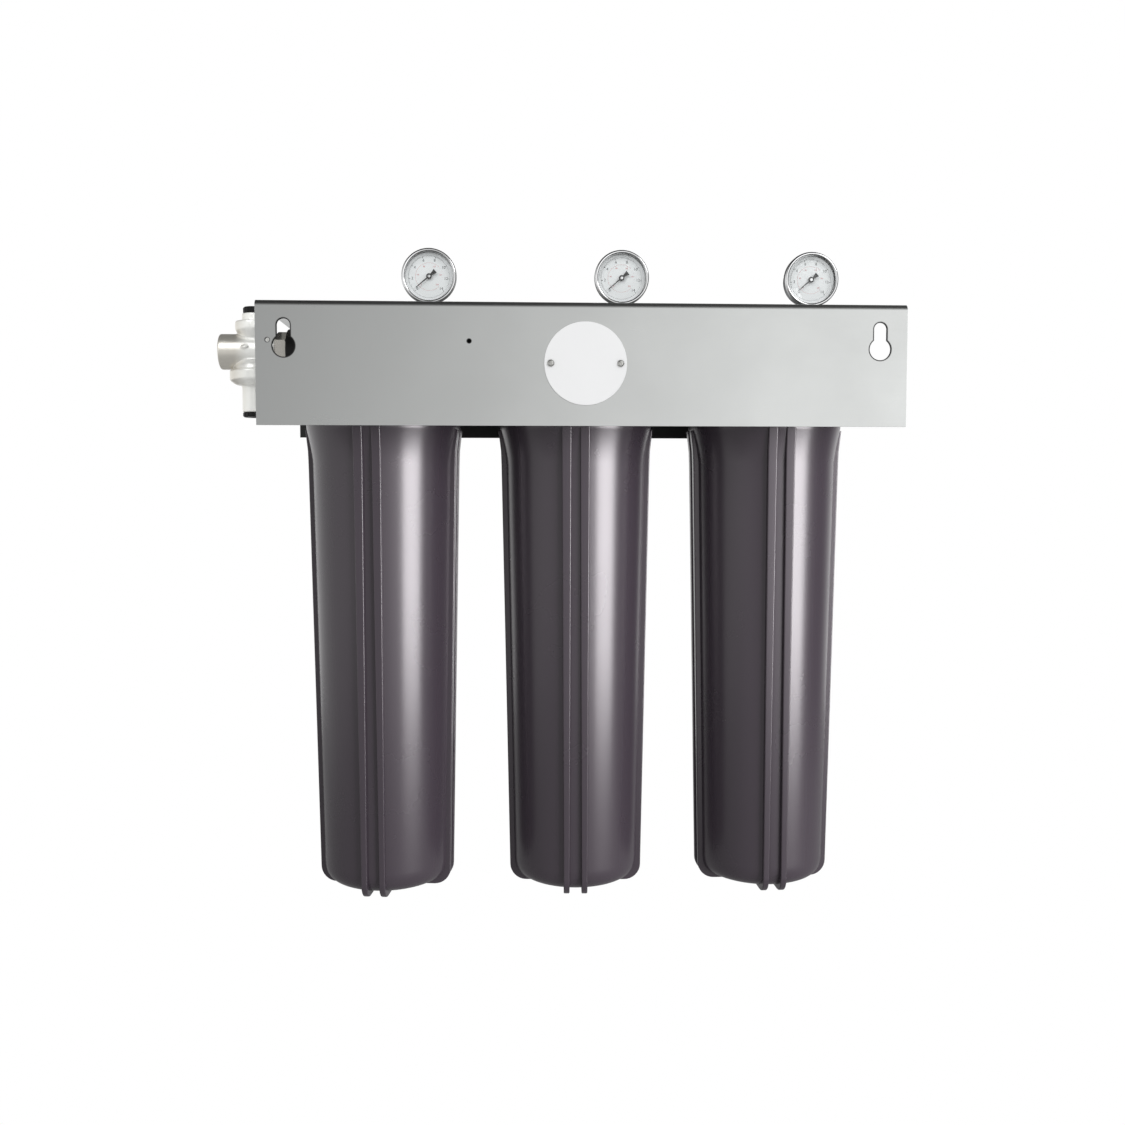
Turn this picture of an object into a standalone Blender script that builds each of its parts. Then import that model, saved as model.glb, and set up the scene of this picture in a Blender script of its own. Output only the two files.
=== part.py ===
"""Whole house water filter: three tall filter housings hung in a stainless steel wall bracket.

Metres, +Z up, the front faces -Y. The origin is on the bracket's rear face, midway between its two hanging
keyholes, at the height of the wall screws. Run it with blender --background --python part.py, or from
Blender's text editor.
"""

from math import atan2, cos, pi, radians, sin, sqrt

import bmesh
import bpy
from mathutils import Matrix, Vector

# Clearances and modelling tools
GAP = 0.0003  # between pieces that touch or are screwed together
OVERRUN = 0.002  # how far a cutter runs past the face that it cuts
MERGE = 0.00001
ROUND_STEPS = 24  # sides of the large round pieces
MEDIUM_STEPS = 16
SMALL_STEPS = 12
TINY_STEPS = 8
SMOOTH_ANGLE = radians(32)
MM_PER_METRE = 1000

# Filter cartridge
CARTRIDGE_LENGTH = 0.508
CARTRIDGE_RADIUS = 0.057
CARTRIDGE_BORE_RADIUS = 0.0140
CARTRIDGE_CAP_HEIGHT = 0.012
CARTRIDGE_CAP_BAND = 0.0012  # how far the end caps stand out past the filter medium
CARTRIDGE_GASKET_WIDTH = 0.006
CARTRIDGE_GASKET_RISE = 0.002

# Sump, the long bowl that unscrews from the head
SUMP_WALL = 0.0055
SUMP_MOUTH_ROOM = 0.0090  # around the cartridge, in the mouth
SUMP_RIM_WIDTH = 0.0160  # from the mouth out to the thread
SUMP_TOP_ROOM = 0.0107  # around the cartridge, in the top of the body
SUMP_TAPER_SLOPE = 0.0188  # the moulding draft of body and ribs
SUMP_RIB_HEIGHT = 0.0040
SUMP_RIB_TOP_WIDTH = 0.0096
SUMP_RIB_FOOT_WIDTH = 0.0060
SUMP_RIB_PITCH = 0.0182  # between the two ribs of a pair
SUMP_FLARE_LENGTH = 0.036
SUMP_FLARE_WIDTH = 0.0060
SUMP_FLARE_HEIGHT_SHARE = 0.40  # where the flare turns outwards
SUMP_FLARE_WIDTH_SHARE = 0.33
SUMP_RIB_LEAD_IN = 0.0010  # of the ribs past the flare at its top
SUMP_COLLAR_LENGTH = 0.009
SUMP_THREAD_CHAMFER = 0.0025
SUMP_NECK_STEP = 0.0020
SUMP_DOME_HEIGHT = 0.0360
SUMP_DOME_POWER = 4.5  # 2 is an ellipse, more is squarer
SUMP_DOME_RINGS = 5
SUMP_FOOT_STAND = 0.0018  # the ribs reach this far below the dome
SUMP_FOOT_CORNER = 0.0170
SUMP_FOOT_INNER_RADIUS = 0.0300
SUMP_FOOT_STEPS = 4
SUMP_SEAT_HEIGHT = 0.0256
SUMP_PIN_PLAY = 0.0020  # in the cartridge's bore
SUMP_PIN_HEIGHT = 0.0100
SUMP_CLOCKINGS = (radians(-6.8), radians(-3.0), radians(1.0))  # each sump stops at its own angle

# O-ring between sump and head
SEAL_SECTION_RADIUS = 0.0027
SEAL_STAND = 0.0010  # the O-ring stands this far out of its groove
SEAL_STEPS = 6

# Head, the cap that holds the ports
SKIRT_WALL = 0.0090
SKIRT_CLEARANCE = 0.0010  # the sides of both polygons must pass as the sump turns
SKIRT_ENGAGEMENT = 0.0413
SKIRT_ROOF = 0.0027  # over the sump's rim, at the outside
SKIRT_EDGE = 0.0020
HEAD_PORT_LAND = 0.0062  # between the port bosses and the sump's rim
HEAD_TOP_LEDGE = 0.0020  # of the flat top past the chamber below it
HEAD_WALL = 0.0100
HEAD_TOP_EDGE = 0.0035
HEAD_SHOULDER_RISE = 0.0110
HEAD_ROOF = 0.0217
HEAD_CHAMBER_ROOM = 0.0030  # around the cartridge
HEAD_MOUTH_STEP = 0.0005  # of the chamber's mouth past the sump's
HEAD_BOSS_INSET = 0.0010  # of the centre boss from the gasket's edge
HEAD_BOSS_STAND = 0.0005  # of the centre boss below the passage's wall
HEAD_NOZZLE_LENGTH = 0.0090
HEAD_NOZZLE_PLAY = 0.0012  # in the cartridge's bore
HEAD_NOZZLE_WALL = 0.0033
HEAD_SCREW_BORE_END = 0.0010  # past the screw's tip

# Ports and pipe fittings
PORT_DROP = 0.0327  # of the port axis below the head's top
PORT_WALL = 0.0068
PORT_STAND = 0.0052  # of the port face past the head's skirt
PORT_THREAD_RADIUS = 0.0167
PORT_THREAD_DEPTH = 0.0190
PORT_PASSAGE_RADIUS = 0.0105
PORT_WEB_WALL = 0.0045
NIPPLE_GAP = 0.0056  # between the port faces of two neighbouring heads
NIPPLE_SLACK = 0.0010  # the nipple ends short of the port's floor
NIPPLE_WALL = 0.0044
HEX_LENGTH = 0.0110
HEX_LEDGE = 0.0013  # of the flats past the port's thread

# Bracket, an inverted channel of sheet steel
SHEET = 0.0020
BEND_RADIUS = 0.0070
BEND_SEGMENTS = 4
BRACKET_HEIGHT = 0.1170
BRACKET_ROOM = 0.0210  # between the head's skirt and the sheet
BRACKET_END = 0.1100  # past the axis of the outer housings
HOUSING_SHIFT = -0.0028  # the row of housings sits a little left of the bracket's middle
KEYHOLE_INSET = 0.0263
KEYHOLE_DROP = 0.0238  # of the slot's upper arc centre below the top
KEYHOLE_RISE = 0.0192  # of that centre above the round hole's
KEYHOLE_SLOT_RADIUS = 0.0062
KEYHOLE_ROUND_RADIUS = 0.0103
SMALL_HOLE_RADIUS = 0.0020
SMALL_HOLE_DROP = 0.0376
SMALL_HOLE_INSETS = (0.0113, 0.1997)

# Fasteners
HEAD_SCREW_RADIUS = 0.0030
HEAD_SCREW_LENGTH = 0.0140
HEAD_SCREW_HALF_FLATS = 0.0050
HEAD_SCREW_HEAD_HEIGHT = 0.0040
HEAD_SCREW_ACROSS = 0.0320
HEAD_SCREW_ALONG = 0.0340
LABEL_SCREW_RADIUS = 0.0019
LABEL_SCREW_LENGTH = 0.0070
LABEL_SCREW_HEAD_RADIUS = 0.0034
LABEL_SCREW_HEAD_HEIGHT = 0.0018
LABEL_SCREW_INSET = 0.0062  # from the plate's edge
LABEL_SCREW_EDGE = 0.0008

# Round label plate
LABEL_RADIUS = 0.0394
LABEL_THICKNESS = 0.0015
LABEL_DROP = 0.0581

# Pressure relief button of each head
RELIEF_HEAD_RADIUS = 0.0065
RELIEF_HEAD_HEIGHT = 0.0045
RELIEF_STAND = 0.0010  # of the button's underside above the bracket
RELIEF_STEM_RADIUS = 0.0030
RELIEF_SEAL_RADIUS = 0.0058
RELIEF_SEAL_HEIGHT = 0.0030
RELIEF_POCKET_RADIUS = 0.0074
RELIEF_POCKET_DEPTH = 0.0100
RELIEF_SPRING_RADIUS = 0.0050
RELIEF_SPRING_WIRE = 0.0005
RELIEF_SPRING_TURNS = 4
BUTTON_HOLE_RADIUS = 0.0085
BUTTON_EDGE = 0.0010

# Pressure gauge
GAUGE_INSET = 0.0120  # of gauge and relief button from the chamber's side
BEZEL_RADIUS = 0.0284
BEZEL_LIP_WIDTH = 0.0034
BEZEL_SKIRT = 0.0007  # of the bezel behind the dial
BEZEL_LIP = 0.0014
BEZEL_WALL = 0.0010
BEZEL_CLEARANCE = 0.0020  # above the stem's square
GAUGE_FACE_OFFSET = 0.0092  # of the bezel's front before the stem's axis
LENS_THICKNESS = 0.0015
CASE_STEP = 0.0027  # of the case inside the bezel's outline
CASE_WALL = 0.0010
CASE_DEPTH = 0.0200
CASE_FLANGE = 0.0014
CASE_BACK_EDGE = 0.0025
DIAL_THICKNESS = 0.0008
DIAL_HOLE_RADIUS = 0.0016
ARBOR_RADIUS = 0.0010
GAUGE_BLOCK_WIDTH = 0.0130  # of the stem's upper part, behind the dial
GAUGE_BLOCK_RISE = 0.0070  # above the gauge's centre
GAUGE_SQUARE_HALF = 0.0070
GAUGE_SQUARE_STAND = 0.0010
GAUGE_SQUARE_HEIGHT = 0.0120
GAUGE_THREAD_RADIUS = 0.0066
GAUGE_THREAD_LENGTH = 0.0150
GAUGE_FEED_RADIUS = 0.0015
GAUGE_HOLE_RADIUS = 0.0108
POINTER_THICKNESS = 0.0005
POINTER_HUB_RADIUS = 0.0029
POINTER_HUB_HEIGHT = 0.0014
POINTER_SOCKET_DEPTH = 0.0008
POINTER_LENGTH = 0.0176
POINTER_ROOT_WIDTH = 0.0013
POINTER_TIP_WIDTH = 0.0007
POINTER_TAIL_LENGTH = 0.0084
POINTER_TAIL_ROOT_WIDTH = 0.0018
POINTER_TAIL_WIDTH = 0.0050
POINTER_RUN = 0.0018  # between the pointer and the dial
POINTER_CLEARANCE = 0.0006  # between the hub and the window
POINTER_REST = radians(220.4)  # its zero, counted from +X towards +Z

# Pressure reducing valve at the inlet, with heights from its flow axis
VALVE_OUTLET_REACH = 0.0239
VALVE_INLET_REACH = 0.0339
VALVE_BARREL_RADIUS = 0.0180
VALVE_BARREL_EDGE = 0.0008
VALVE_THREAD_RADIUS = 0.0132
VALVE_THREAD_DEPTH = 0.0130
VALVE_PASSAGE_RADIUS = 0.0080
VALVE_CHAMBER_RADIUS = 0.0094
VALVE_CHAMBER_TOP = 0.0140
VALVE_NECK_RADIUS = 0.0119
VALVE_NECK_TOP = 0.0390
VALVE_CUP_TOP = 0.0308
VALVE_CUP_LOW = 0.0226
VALVE_CUP_RADIUS = 0.0187
VALVE_WAIST_TOP = 0.0114
VALVE_WAIST_LOW = -0.0020
VALVE_WAIST_RADIUS = 0.0122
VALVE_BOWL_TOP = -0.0195
VALVE_BOWL_LOW = -0.0297
VALVE_BOWL_FOOT = -0.0338
VALVE_BOWL_RADIUS = 0.0246
VALVE_BOWL_EDGE = 0.0060
VALVE_TUBE_WALL = 0.0030
VALVE_TUBE_END = -0.0623
VALVE_EDGE = 0.0014
VALVE_CAP_RADIUS = 0.0108
VALVE_CAP_HEIGHT = 0.0063
VALVE_CAP_SPIGOT_RADIUS = 0.0060
VALVE_CAP_SPIGOT_LENGTH = 0.0120
PISTON_PLAY = 0.0006  # in the chamber
PISTON_STEM_RADIUS = 0.0030
PISTON_ROOM = 0.0010  # over the disc
PISTON_DISC_HEIGHT = 0.0040
PISTON_HEAD_TOP = -0.0130
PISTON_HEAD_HEIGHT = 0.0080
VALVE_SPRING_LENGTH = 0.0250
VALVE_SPRING_INSET = 0.0024  # of the wire's middle from the chamber's side
VALVE_SPRING_WIRE = 0.0009
VALVE_SPRING_TURNS = 5
ADJUSTER_RADIUS = 0.0123
ADJUSTER_HEIGHT = 0.0046
ADJUSTER_PLAY = 0.0005  # in the chamber
SPRING_POINTS = 8  # for each turn

# Levels and places that follow
gasket_radius = CARTRIDGE_BORE_RADIUS + CARTRIDGE_GASKET_WIDTH
mouth_radius = CARTRIDGE_RADIUS + SUMP_MOUTH_ROOM
seal_radius = mouth_radius + SUMP_RIM_WIDTH / 2
thread_radius = mouth_radius + SUMP_RIM_WIDTH
top_rib_radius = CARTRIDGE_RADIUS + SUMP_TOP_ROOM + SUMP_WALL + SUMP_RIB_HEIGHT
chamber_radius = CARTRIDGE_RADIUS + HEAD_CHAMBER_ROOM
nozzle_radius = CARTRIDGE_BORE_RADIUS - HEAD_NOZZLE_PLAY
head_radius = thread_radius + SKIRT_CLEARANCE + SKIRT_WALL
port_boss_radius = PORT_THREAD_RADIUS + PORT_WALL
web_radius = PORT_PASSAGE_RADIUS + PORT_WEB_WALL
head_height = PORT_DROP + port_boss_radius + HEAD_PORT_LAND + SKIRT_ENGAGEMENT
port_reach = head_radius + PORT_STAND
spacing = port_reach + port_reach + NIPPLE_GAP
axis_y = -(head_radius + BRACKET_ROOM + SHEET)
bracket_depth = axis_y * -2
bracket_half = spacing + BRACKET_END
flange_top = KEYHOLE_DROP
head_top = flange_top - SHEET - GAP
port_z = head_top - PORT_DROP
roof_z = head_top - HEAD_ROOF
skirt_z = head_top - head_height
shoulder_z = skirt_z + SKIRT_ENGAGEMENT
boss_z = port_z - web_radius - HEAD_BOSS_STAND
rim_z = shoulder_z - SEAL_STAND - GAP
cartridge_top = boss_z - GAP
cartridge_low = cartridge_top - CARTRIDGE_LENGTH
seat_z = cartridge_low - GAP
inner_dome_z = seat_z - SUMP_SEAT_HEIGHT
dome_z = inner_dome_z - SUMP_WALL
foot_z = dome_z - SUMP_FOOT_STAND
gauge_offset = chamber_radius - GAUGE_INSET
square_top = flange_top + GAUGE_SQUARE_STAND + GAUGE_SQUARE_HEIGHT
gauge_z = square_top + BEZEL_CLEARANCE + BEZEL_RADIUS
window_back = BEZEL_LIP + GAP + LENS_THICKNESS
dial_depth = window_back + POINTER_CLEARANCE + POINTER_HUB_HEIGHT + POINTER_RUN
bezel_depth = dial_depth + DIAL_THICKNESS + BEZEL_SKIRT
gauge_face_y = axis_y - GAUGE_FACE_OFFSET
flare_top = skirt_z - GAP - SUMP_COLLAR_LENGTH
flare_low = flare_top - SUMP_FLARE_LENGTH
left_x = HOUSING_SHIFT - spacing
HOUSINGS = {
    "left": (left_x, SUMP_CLOCKINGS[0]),
    "middle": (HOUSING_SHIFT, SUMP_CLOCKINGS[1]),
    "right": (HOUSING_SHIFT + spacing, SUMP_CLOCKINGS[2]),
}
hex_left = left_x - port_reach - GAP - HEX_LENGTH
valve_outlet_x = hex_left - GAP
valve_x = valve_outlet_x - VALVE_OUTLET_REACH
screw_low = flange_top + GAP - HEAD_SCREW_LENGTH - SHEET - GAP

# Axes that a turned piece's own +Z is turned to
UP = Matrix.Identity(4)
ALONG_X = Matrix.Rotation(pi / 2, 4, "Y")
TO_FRONT = Matrix.Rotation(pi / 2, 4, "X")


def clear_scene():
    """Removes every object, so that the script can be run again."""
    for old in list(bpy.data.objects):
        bpy.data.objects.remove(old, do_unlink=True)


def collection(name):
    made = bpy.data.collections.new(name)
    bpy.context.scene.collection.children.link(made)
    return made


def material(name, colour, roughness, metallic=0.0, see_through=0.0):
    made = bpy.data.materials.new(name)
    made.use_nodes = True
    shader = made.node_tree.nodes["Principled BSDF"]
    shader.inputs["Base Color"].default_value = (*colour, 1.0)
    shader.inputs["Roughness"].default_value = roughness
    shader.inputs["Metallic"].default_value = metallic
    shader.inputs["Transmission Weight"].default_value = see_through
    made.diffuse_color = (*colour, 1.0)
    return made


clear_scene()
PARTS = collection("whole_house_water_filter")
CUTTERS = collection("cutters")
STEEL = material("brushed_stainless", (0.60, 0.61, 0.60), 0.35, 1.0)
ANTHRACITE = material("anthracite_plastic", (0.115, 0.100, 0.112), 0.42)
BLACK = material("black_plastic", (0.020, 0.020, 0.022), 0.45)
RUBBER = material("black_rubber", (0.015, 0.015, 0.015), 0.75)
MEDIUM = material("filter_medium", (0.86, 0.86, 0.83), 0.90)
RED = material("red_plastic", (0.60, 0.03, 0.03), 0.40)
SPRING = material("spring_steel", (0.55, 0.55, 0.56), 0.30, 1.0)
CHROME = material("chrome", (0.80, 0.81, 0.82), 0.08, 1.0)
GLASS = material("clear_window", (0.95, 0.97, 0.97), 0.03, 0.0, 1.0)
WHITE = material("white_plate", (0.88, 0.89, 0.90), 0.40)
NICKEL = material("brushed_nickel", (0.62, 0.60, 0.56), 0.33, 1.0)
CAST = material("plated_casting", (0.80, 0.80, 0.77), 0.45, 0.35)
BRASS = material("brass", (0.72, 0.55, 0.26), 0.30, 1.0)
ZINC = material("zinc_plated_steel", (0.60, 0.60, 0.58), 0.35, 1.0)


def place(obj, finish):
    """Puts an object among the parts, or among the cutters where it has no finish."""
    if finish is None:
        CUTTERS.objects.link(obj)
        obj.hide_render = True
        obj.display_type = "WIRE"
    else:
        PARTS.objects.link(obj)
        obj.data.materials.append(finish)
    return obj


def shade_round(mesh):
    mesh.shade_smooth()
    mesh.set_sharp_from_angle(angle=SMOOTH_ANGLE)


def turned(name, profile, finish, at, turn=UP, steps=SMALL_STEPS, closed=False):
    """Spins a profile of (radius, height) points, listed down its outer side, about the local Z axis."""
    last = len(profile) - 1
    edges = [(i, i + 1) for i in range(last)]
    if closed:
        edges.append((last, 0))
    mesh = bpy.data.meshes.new(name)
    mesh.from_pydata([(radius, 0.0, height) for radius, height in profile], edges, [])
    obj = place(bpy.data.objects.new(name, mesh), finish)
    spin = obj.modifiers.new("spin", "SCREW")
    spin.steps = spin.render_steps = steps
    spin.use_merge_vertices = True
    spin.merge_threshold = MERGE
    spin.use_smooth_shade = True
    obj.matrix_world = Matrix.Translation(at) @ turn
    return obj


def rod(name, radius, low, high, finish, at, turn=UP, steps=SMALL_STEPS, bevel=0.0):
    """A cylinder about the local Z axis, from one height to another."""
    mesh = bpy.data.meshes.new(name)
    shape = bmesh.new()
    bmesh.ops.create_cone(
        shape,
        cap_ends=True,
        segments=steps,
        radius1=radius,
        radius2=radius,
        depth=high - low,
        matrix=Matrix.Translation((0.0, 0.0, (low + high) / 2)),
    )
    shape.to_mesh(mesh)
    shape.free()
    shade_round(mesh)
    obj = place(bpy.data.objects.new(name, mesh), finish)
    obj.matrix_world = Matrix.Translation(at) @ turn
    round_edges(obj, bevel)
    return obj


def hexagon(name, half_flats, low, high, finish, at, turn=UP):
    return rod(name, half_flats / cos(pi / 6), low, high, finish, at, turn, steps=6)


def block(name, low, high, finish):
    """A box between two corners."""
    low, high = Vector(low), Vector(high)
    size = high - low
    mesh = bpy.data.meshes.new(name)
    shape = bmesh.new()
    place_and_size = Matrix.Translation((low + high) / 2) @ Matrix.Diagonal((*size, 1.0))
    bmesh.ops.create_cube(shape, size=1.0, matrix=place_and_size)
    shape.to_mesh(mesh)
    shape.free()
    return place(bpy.data.objects.new(name, mesh), finish)


def plate(name, outline, low, high, finish, at, turn=UP):
    """A flat outline of (x, y) points, made solid between two local heights."""
    curve = bpy.data.curves.new(name, "CURVE")
    curve.dimensions = "2D"
    curve.fill_mode = "BOTH"
    curve.extrude = (high - low) / 2
    spline = curve.splines.new("POLY")
    spline.points.add(len(outline) - 1)
    for point, (x, y) in zip(spline.points, outline):
        point.co = (x, y, 0.0, 1.0)
    spline.use_cyclic_u = True
    mesh = curve_mesh(name, curve)
    obj = place(bpy.data.objects.new(name, mesh), finish)
    obj.matrix_world = Matrix.Translation(at) @ turn @ Matrix.Translation((0.0, 0.0, (low + high) / 2))
    return obj


def curve_mesh(name, curve):
    """The mesh of a curve, with its caps welded to its sides."""
    guide = bpy.data.objects.new(name, curve)
    PARTS.objects.link(guide)
    bpy.context.view_layer.update()
    seen = guide.evaluated_get(bpy.context.evaluated_depsgraph_get())
    mesh = bpy.data.meshes.new_from_object(seen)
    bpy.data.objects.remove(guide)
    shape = bmesh.new()
    shape.from_mesh(mesh)
    bmesh.ops.remove_doubles(shape, verts=shape.verts, dist=MERGE)
    bmesh.ops.recalc_face_normals(shape, faces=shape.faces)
    shape.to_mesh(mesh)
    shape.free()
    return mesh


def round_edges(obj, width):
    if width:
        bevel = obj.modifiers.new("edge", "BEVEL")
        bevel.width = width
        bevel.segments = 1
        bevel.limit_method = "ANGLE"


def combine(obj, other, operation="DIFFERENCE"):
    """Cuts with, or joins, another object, which then counts as a cutter."""
    joined = obj.modifiers.new(other.name, "BOOLEAN")
    joined.operation = operation
    joined.solver = "EXACT"
    joined.object = other


def cut(obj, *others):
    for other in others:
        combine(obj, other)


def join(obj, *others):
    for other in others:
        combine(obj, other, "UNION")


def coil(name, radius, wire, turns, low, high, finish, at):
    """A helical spring, one unbroken wire whose ends lie inside the two heights."""
    points = []
    count = turns * SPRING_POINTS
    rise = high - low - 2 * wire
    for i in range(count + 1):
        angle = 2 * pi * i / SPRING_POINTS
        points.append((radius * cos(angle), radius * sin(angle), low + wire + rise * i / count))
    gap = min(
        (Vector(a) - Vector(b)).length - 2 * wire
        for n, a in enumerate(points)
        for b in points[n + SPRING_POINTS // 2 :]
    )
    print(f"{name}: least gap between turns {gap * MM_PER_METRE:.2f} mm")
    curve = bpy.data.curves.new(name, "CURVE")
    curve.dimensions = "3D"
    curve.bevel_depth = wire
    curve.bevel_resolution = 1
    curve.use_fill_caps = True
    spline = curve.splines.new("POLY")
    spline.points.add(count)
    for point, place_of in zip(spline.points, points):
        point.co = (*place_of, 1.0)
    mesh = curve_mesh(name, curve)
    shade_round(mesh)
    obj = place(bpy.data.objects.new(name, mesh), finish)
    obj.location = at
    return obj


def arc(centre, radius, first, last, segments):
    """Points on an arc, from one angle to another."""
    cx, cy = centre
    angles = [first + (last - first) * i / segments for i in range(segments + 1)]
    return [(cx + radius * cos(a), cy + radius * sin(a)) for a in angles]


def keyhole_outline():
    """A round hole with a narrower slot above it, about the slot's upper arc centre."""
    mouth = atan2(sqrt(KEYHOLE_ROUND_RADIUS**2 - KEYHOLE_SLOT_RADIUS**2), KEYHOLE_SLOT_RADIUS)
    slot = arc((0.0, 0.0), KEYHOLE_SLOT_RADIUS, 0.0, pi, TINY_STEPS)
    hole = arc((0.0, -KEYHOLE_RISE), KEYHOLE_ROUND_RADIUS, pi - mouth, 2 * pi + mouth, SMALL_STEPS)
    return slot + hole


def make_bracket():
    """An inverted channel: front, top and back of one folded sheet, with its holes."""
    low = flange_top - BRACKET_HEIGHT
    front = -bracket_depth
    section = [(front, low), (front, flange_top), (0.0, flange_top), (0.0, low)]
    mesh = bpy.data.meshes.new("bracket")
    shape = bmesh.new()
    rows = []
    for x in (-bracket_half, bracket_half):
        rows.append([shape.verts.new((x, y, z)) for y, z in section])
    for i in range(len(section) - 1):
        shape.faces.new((rows[0][i], rows[1][i], rows[1][i + 1], rows[0][i + 1]))
    bmesh.ops.recalc_face_normals(shape, faces=shape.faces)
    shape.to_mesh(mesh)
    shape.free()
    bracket = place(bpy.data.objects.new("bracket", mesh), STEEL)
    bend = bracket.modifiers.new("bend", "BEVEL")
    bend.width = BEND_RADIUS
    bend.segments = BEND_SEGMENTS
    bend.limit_method = "ANGLE"
    sheet = bracket.modifiers.new("sheet", "SOLIDIFY")
    sheet.thickness = SHEET
    sheet.offset = -1.0
    sheet.use_even_offset = True
    through = (-SHEET - OVERRUN, OVERRUN)
    for side, sign in (("left", -1), ("right", 1)):
        x = sign * (bracket_half - KEYHOLE_INSET)
        for wall, y in (("front", front), ("back", -SHEET)):
            at = (x, y, flange_top - KEYHOLE_DROP)
            name = f"keyhole_{side}_{wall}"
            cut(bracket, plate(name, keyhole_outline(), *through, None, at, TO_FRONT))
    for number, inset in enumerate(SMALL_HOLE_INSETS, 1):
        at = (inset - bracket_half, front, flange_top - SMALL_HOLE_DROP)
        name = f"small_hole_{number}"
        cut(bracket, rod(name, SMALL_HOLE_RADIUS, *through, None, at, TO_FRONT, TINY_STEPS))
    for sign in (-1, 1):
        at = (sign * (LABEL_RADIUS - LABEL_SCREW_INSET), front, flange_top - LABEL_DROP)
        radius = LABEL_SCREW_RADIUS + GAP
        cut(bracket, rod("label_screw_hole", radius, *through, None, at, TO_FRONT, TINY_STEPS))
    for x, _ in HOUSINGS.values():
        radius = HEAD_SCREW_RADIUS + GAP
        holes = [(x + sx, axis_y + sy, radius) for sx, sy in screw_places()]
        holes.append((x + gauge_offset, axis_y, GAUGE_HOLE_RADIUS))
        holes.append((x - gauge_offset, axis_y, BUTTON_HOLE_RADIUS))
        for hole_x, hole_y, hole_radius in holes:
            at = (hole_x, hole_y, flange_top)
            cut(bracket, rod("top_hole", hole_radius, *through, None, at, steps=TINY_STEPS))


def screw_places():
    """Where the four screws of a head stand, about its axis."""
    return [(sx * HEAD_SCREW_ACROSS, sy * HEAD_SCREW_ALONG) for sx in (-1, 1) for sy in (-1, 1)]


def make_label():
    at = (0.0, -bracket_depth, flange_top - LABEL_DROP)
    top = GAP + LABEL_THICKNESS
    offset = LABEL_RADIUS - LABEL_SCREW_INSET
    disc = rod("label_disc", LABEL_RADIUS, GAP, top, WHITE, at, TO_FRONT, ROUND_STEPS)
    for side, sign in (("left", -1), ("right", 1)):
        at_screw = (sign * offset, at[1], at[2])
        radius = LABEL_SCREW_RADIUS + GAP
        cut(disc, rod("label_hole", radius, -OVERRUN, top + OVERRUN, None, at_screw, TO_FRONT, TINY_STEPS))
        head = top + GAP
        profile = [
            (0.0, head + LABEL_SCREW_HEAD_HEIGHT),
            (LABEL_SCREW_HEAD_RADIUS - LABEL_SCREW_EDGE, head + LABEL_SCREW_HEAD_HEIGHT),
            (LABEL_SCREW_HEAD_RADIUS, head + LABEL_SCREW_HEAD_HEIGHT - LABEL_SCREW_EDGE),
            (LABEL_SCREW_HEAD_RADIUS, head),
            (LABEL_SCREW_RADIUS, head),
            (LABEL_SCREW_RADIUS, head - LABEL_SCREW_LENGTH),
            (0.0, head - LABEL_SCREW_LENGTH),
        ]
        turned(f"label_screw_{side}", profile, ZINC, at_screw, TO_FRONT, TINY_STEPS)


def head_profile():
    """The head's outer side down to its skirt, then back up inside and down the centre nozzle."""
    inner = thread_radius + SKIRT_CLEARANCE
    skirt_top = shoulder_z + SKIRT_ROOF
    return [
        (0.0, head_top),
        (chamber_radius + HEAD_TOP_LEDGE, head_top),
        (chamber_radius + HEAD_TOP_LEDGE + HEAD_TOP_EDGE, head_top - HEAD_TOP_EDGE),
        (chamber_radius + HEAD_WALL, skirt_top + HEAD_SHOULDER_RISE),
        (head_radius - SKIRT_EDGE, skirt_top),
        (head_radius, skirt_top - SKIRT_EDGE),
        (head_radius, skirt_z + SKIRT_EDGE),
        (head_radius - SKIRT_EDGE, skirt_z),
        (inner, skirt_z),
        (inner, shoulder_z),
        (mouth_radius + HEAD_MOUTH_STEP, shoulder_z),
        (chamber_radius, roof_z),
        (gasket_radius - HEAD_BOSS_INSET, roof_z),
        (gasket_radius - HEAD_BOSS_INSET, boss_z),
        (nozzle_radius, boss_z),
        (nozzle_radius, boss_z - HEAD_NOZZLE_LENGTH),
        (0.0, boss_z - HEAD_NOZZLE_LENGTH),
    ]


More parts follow.
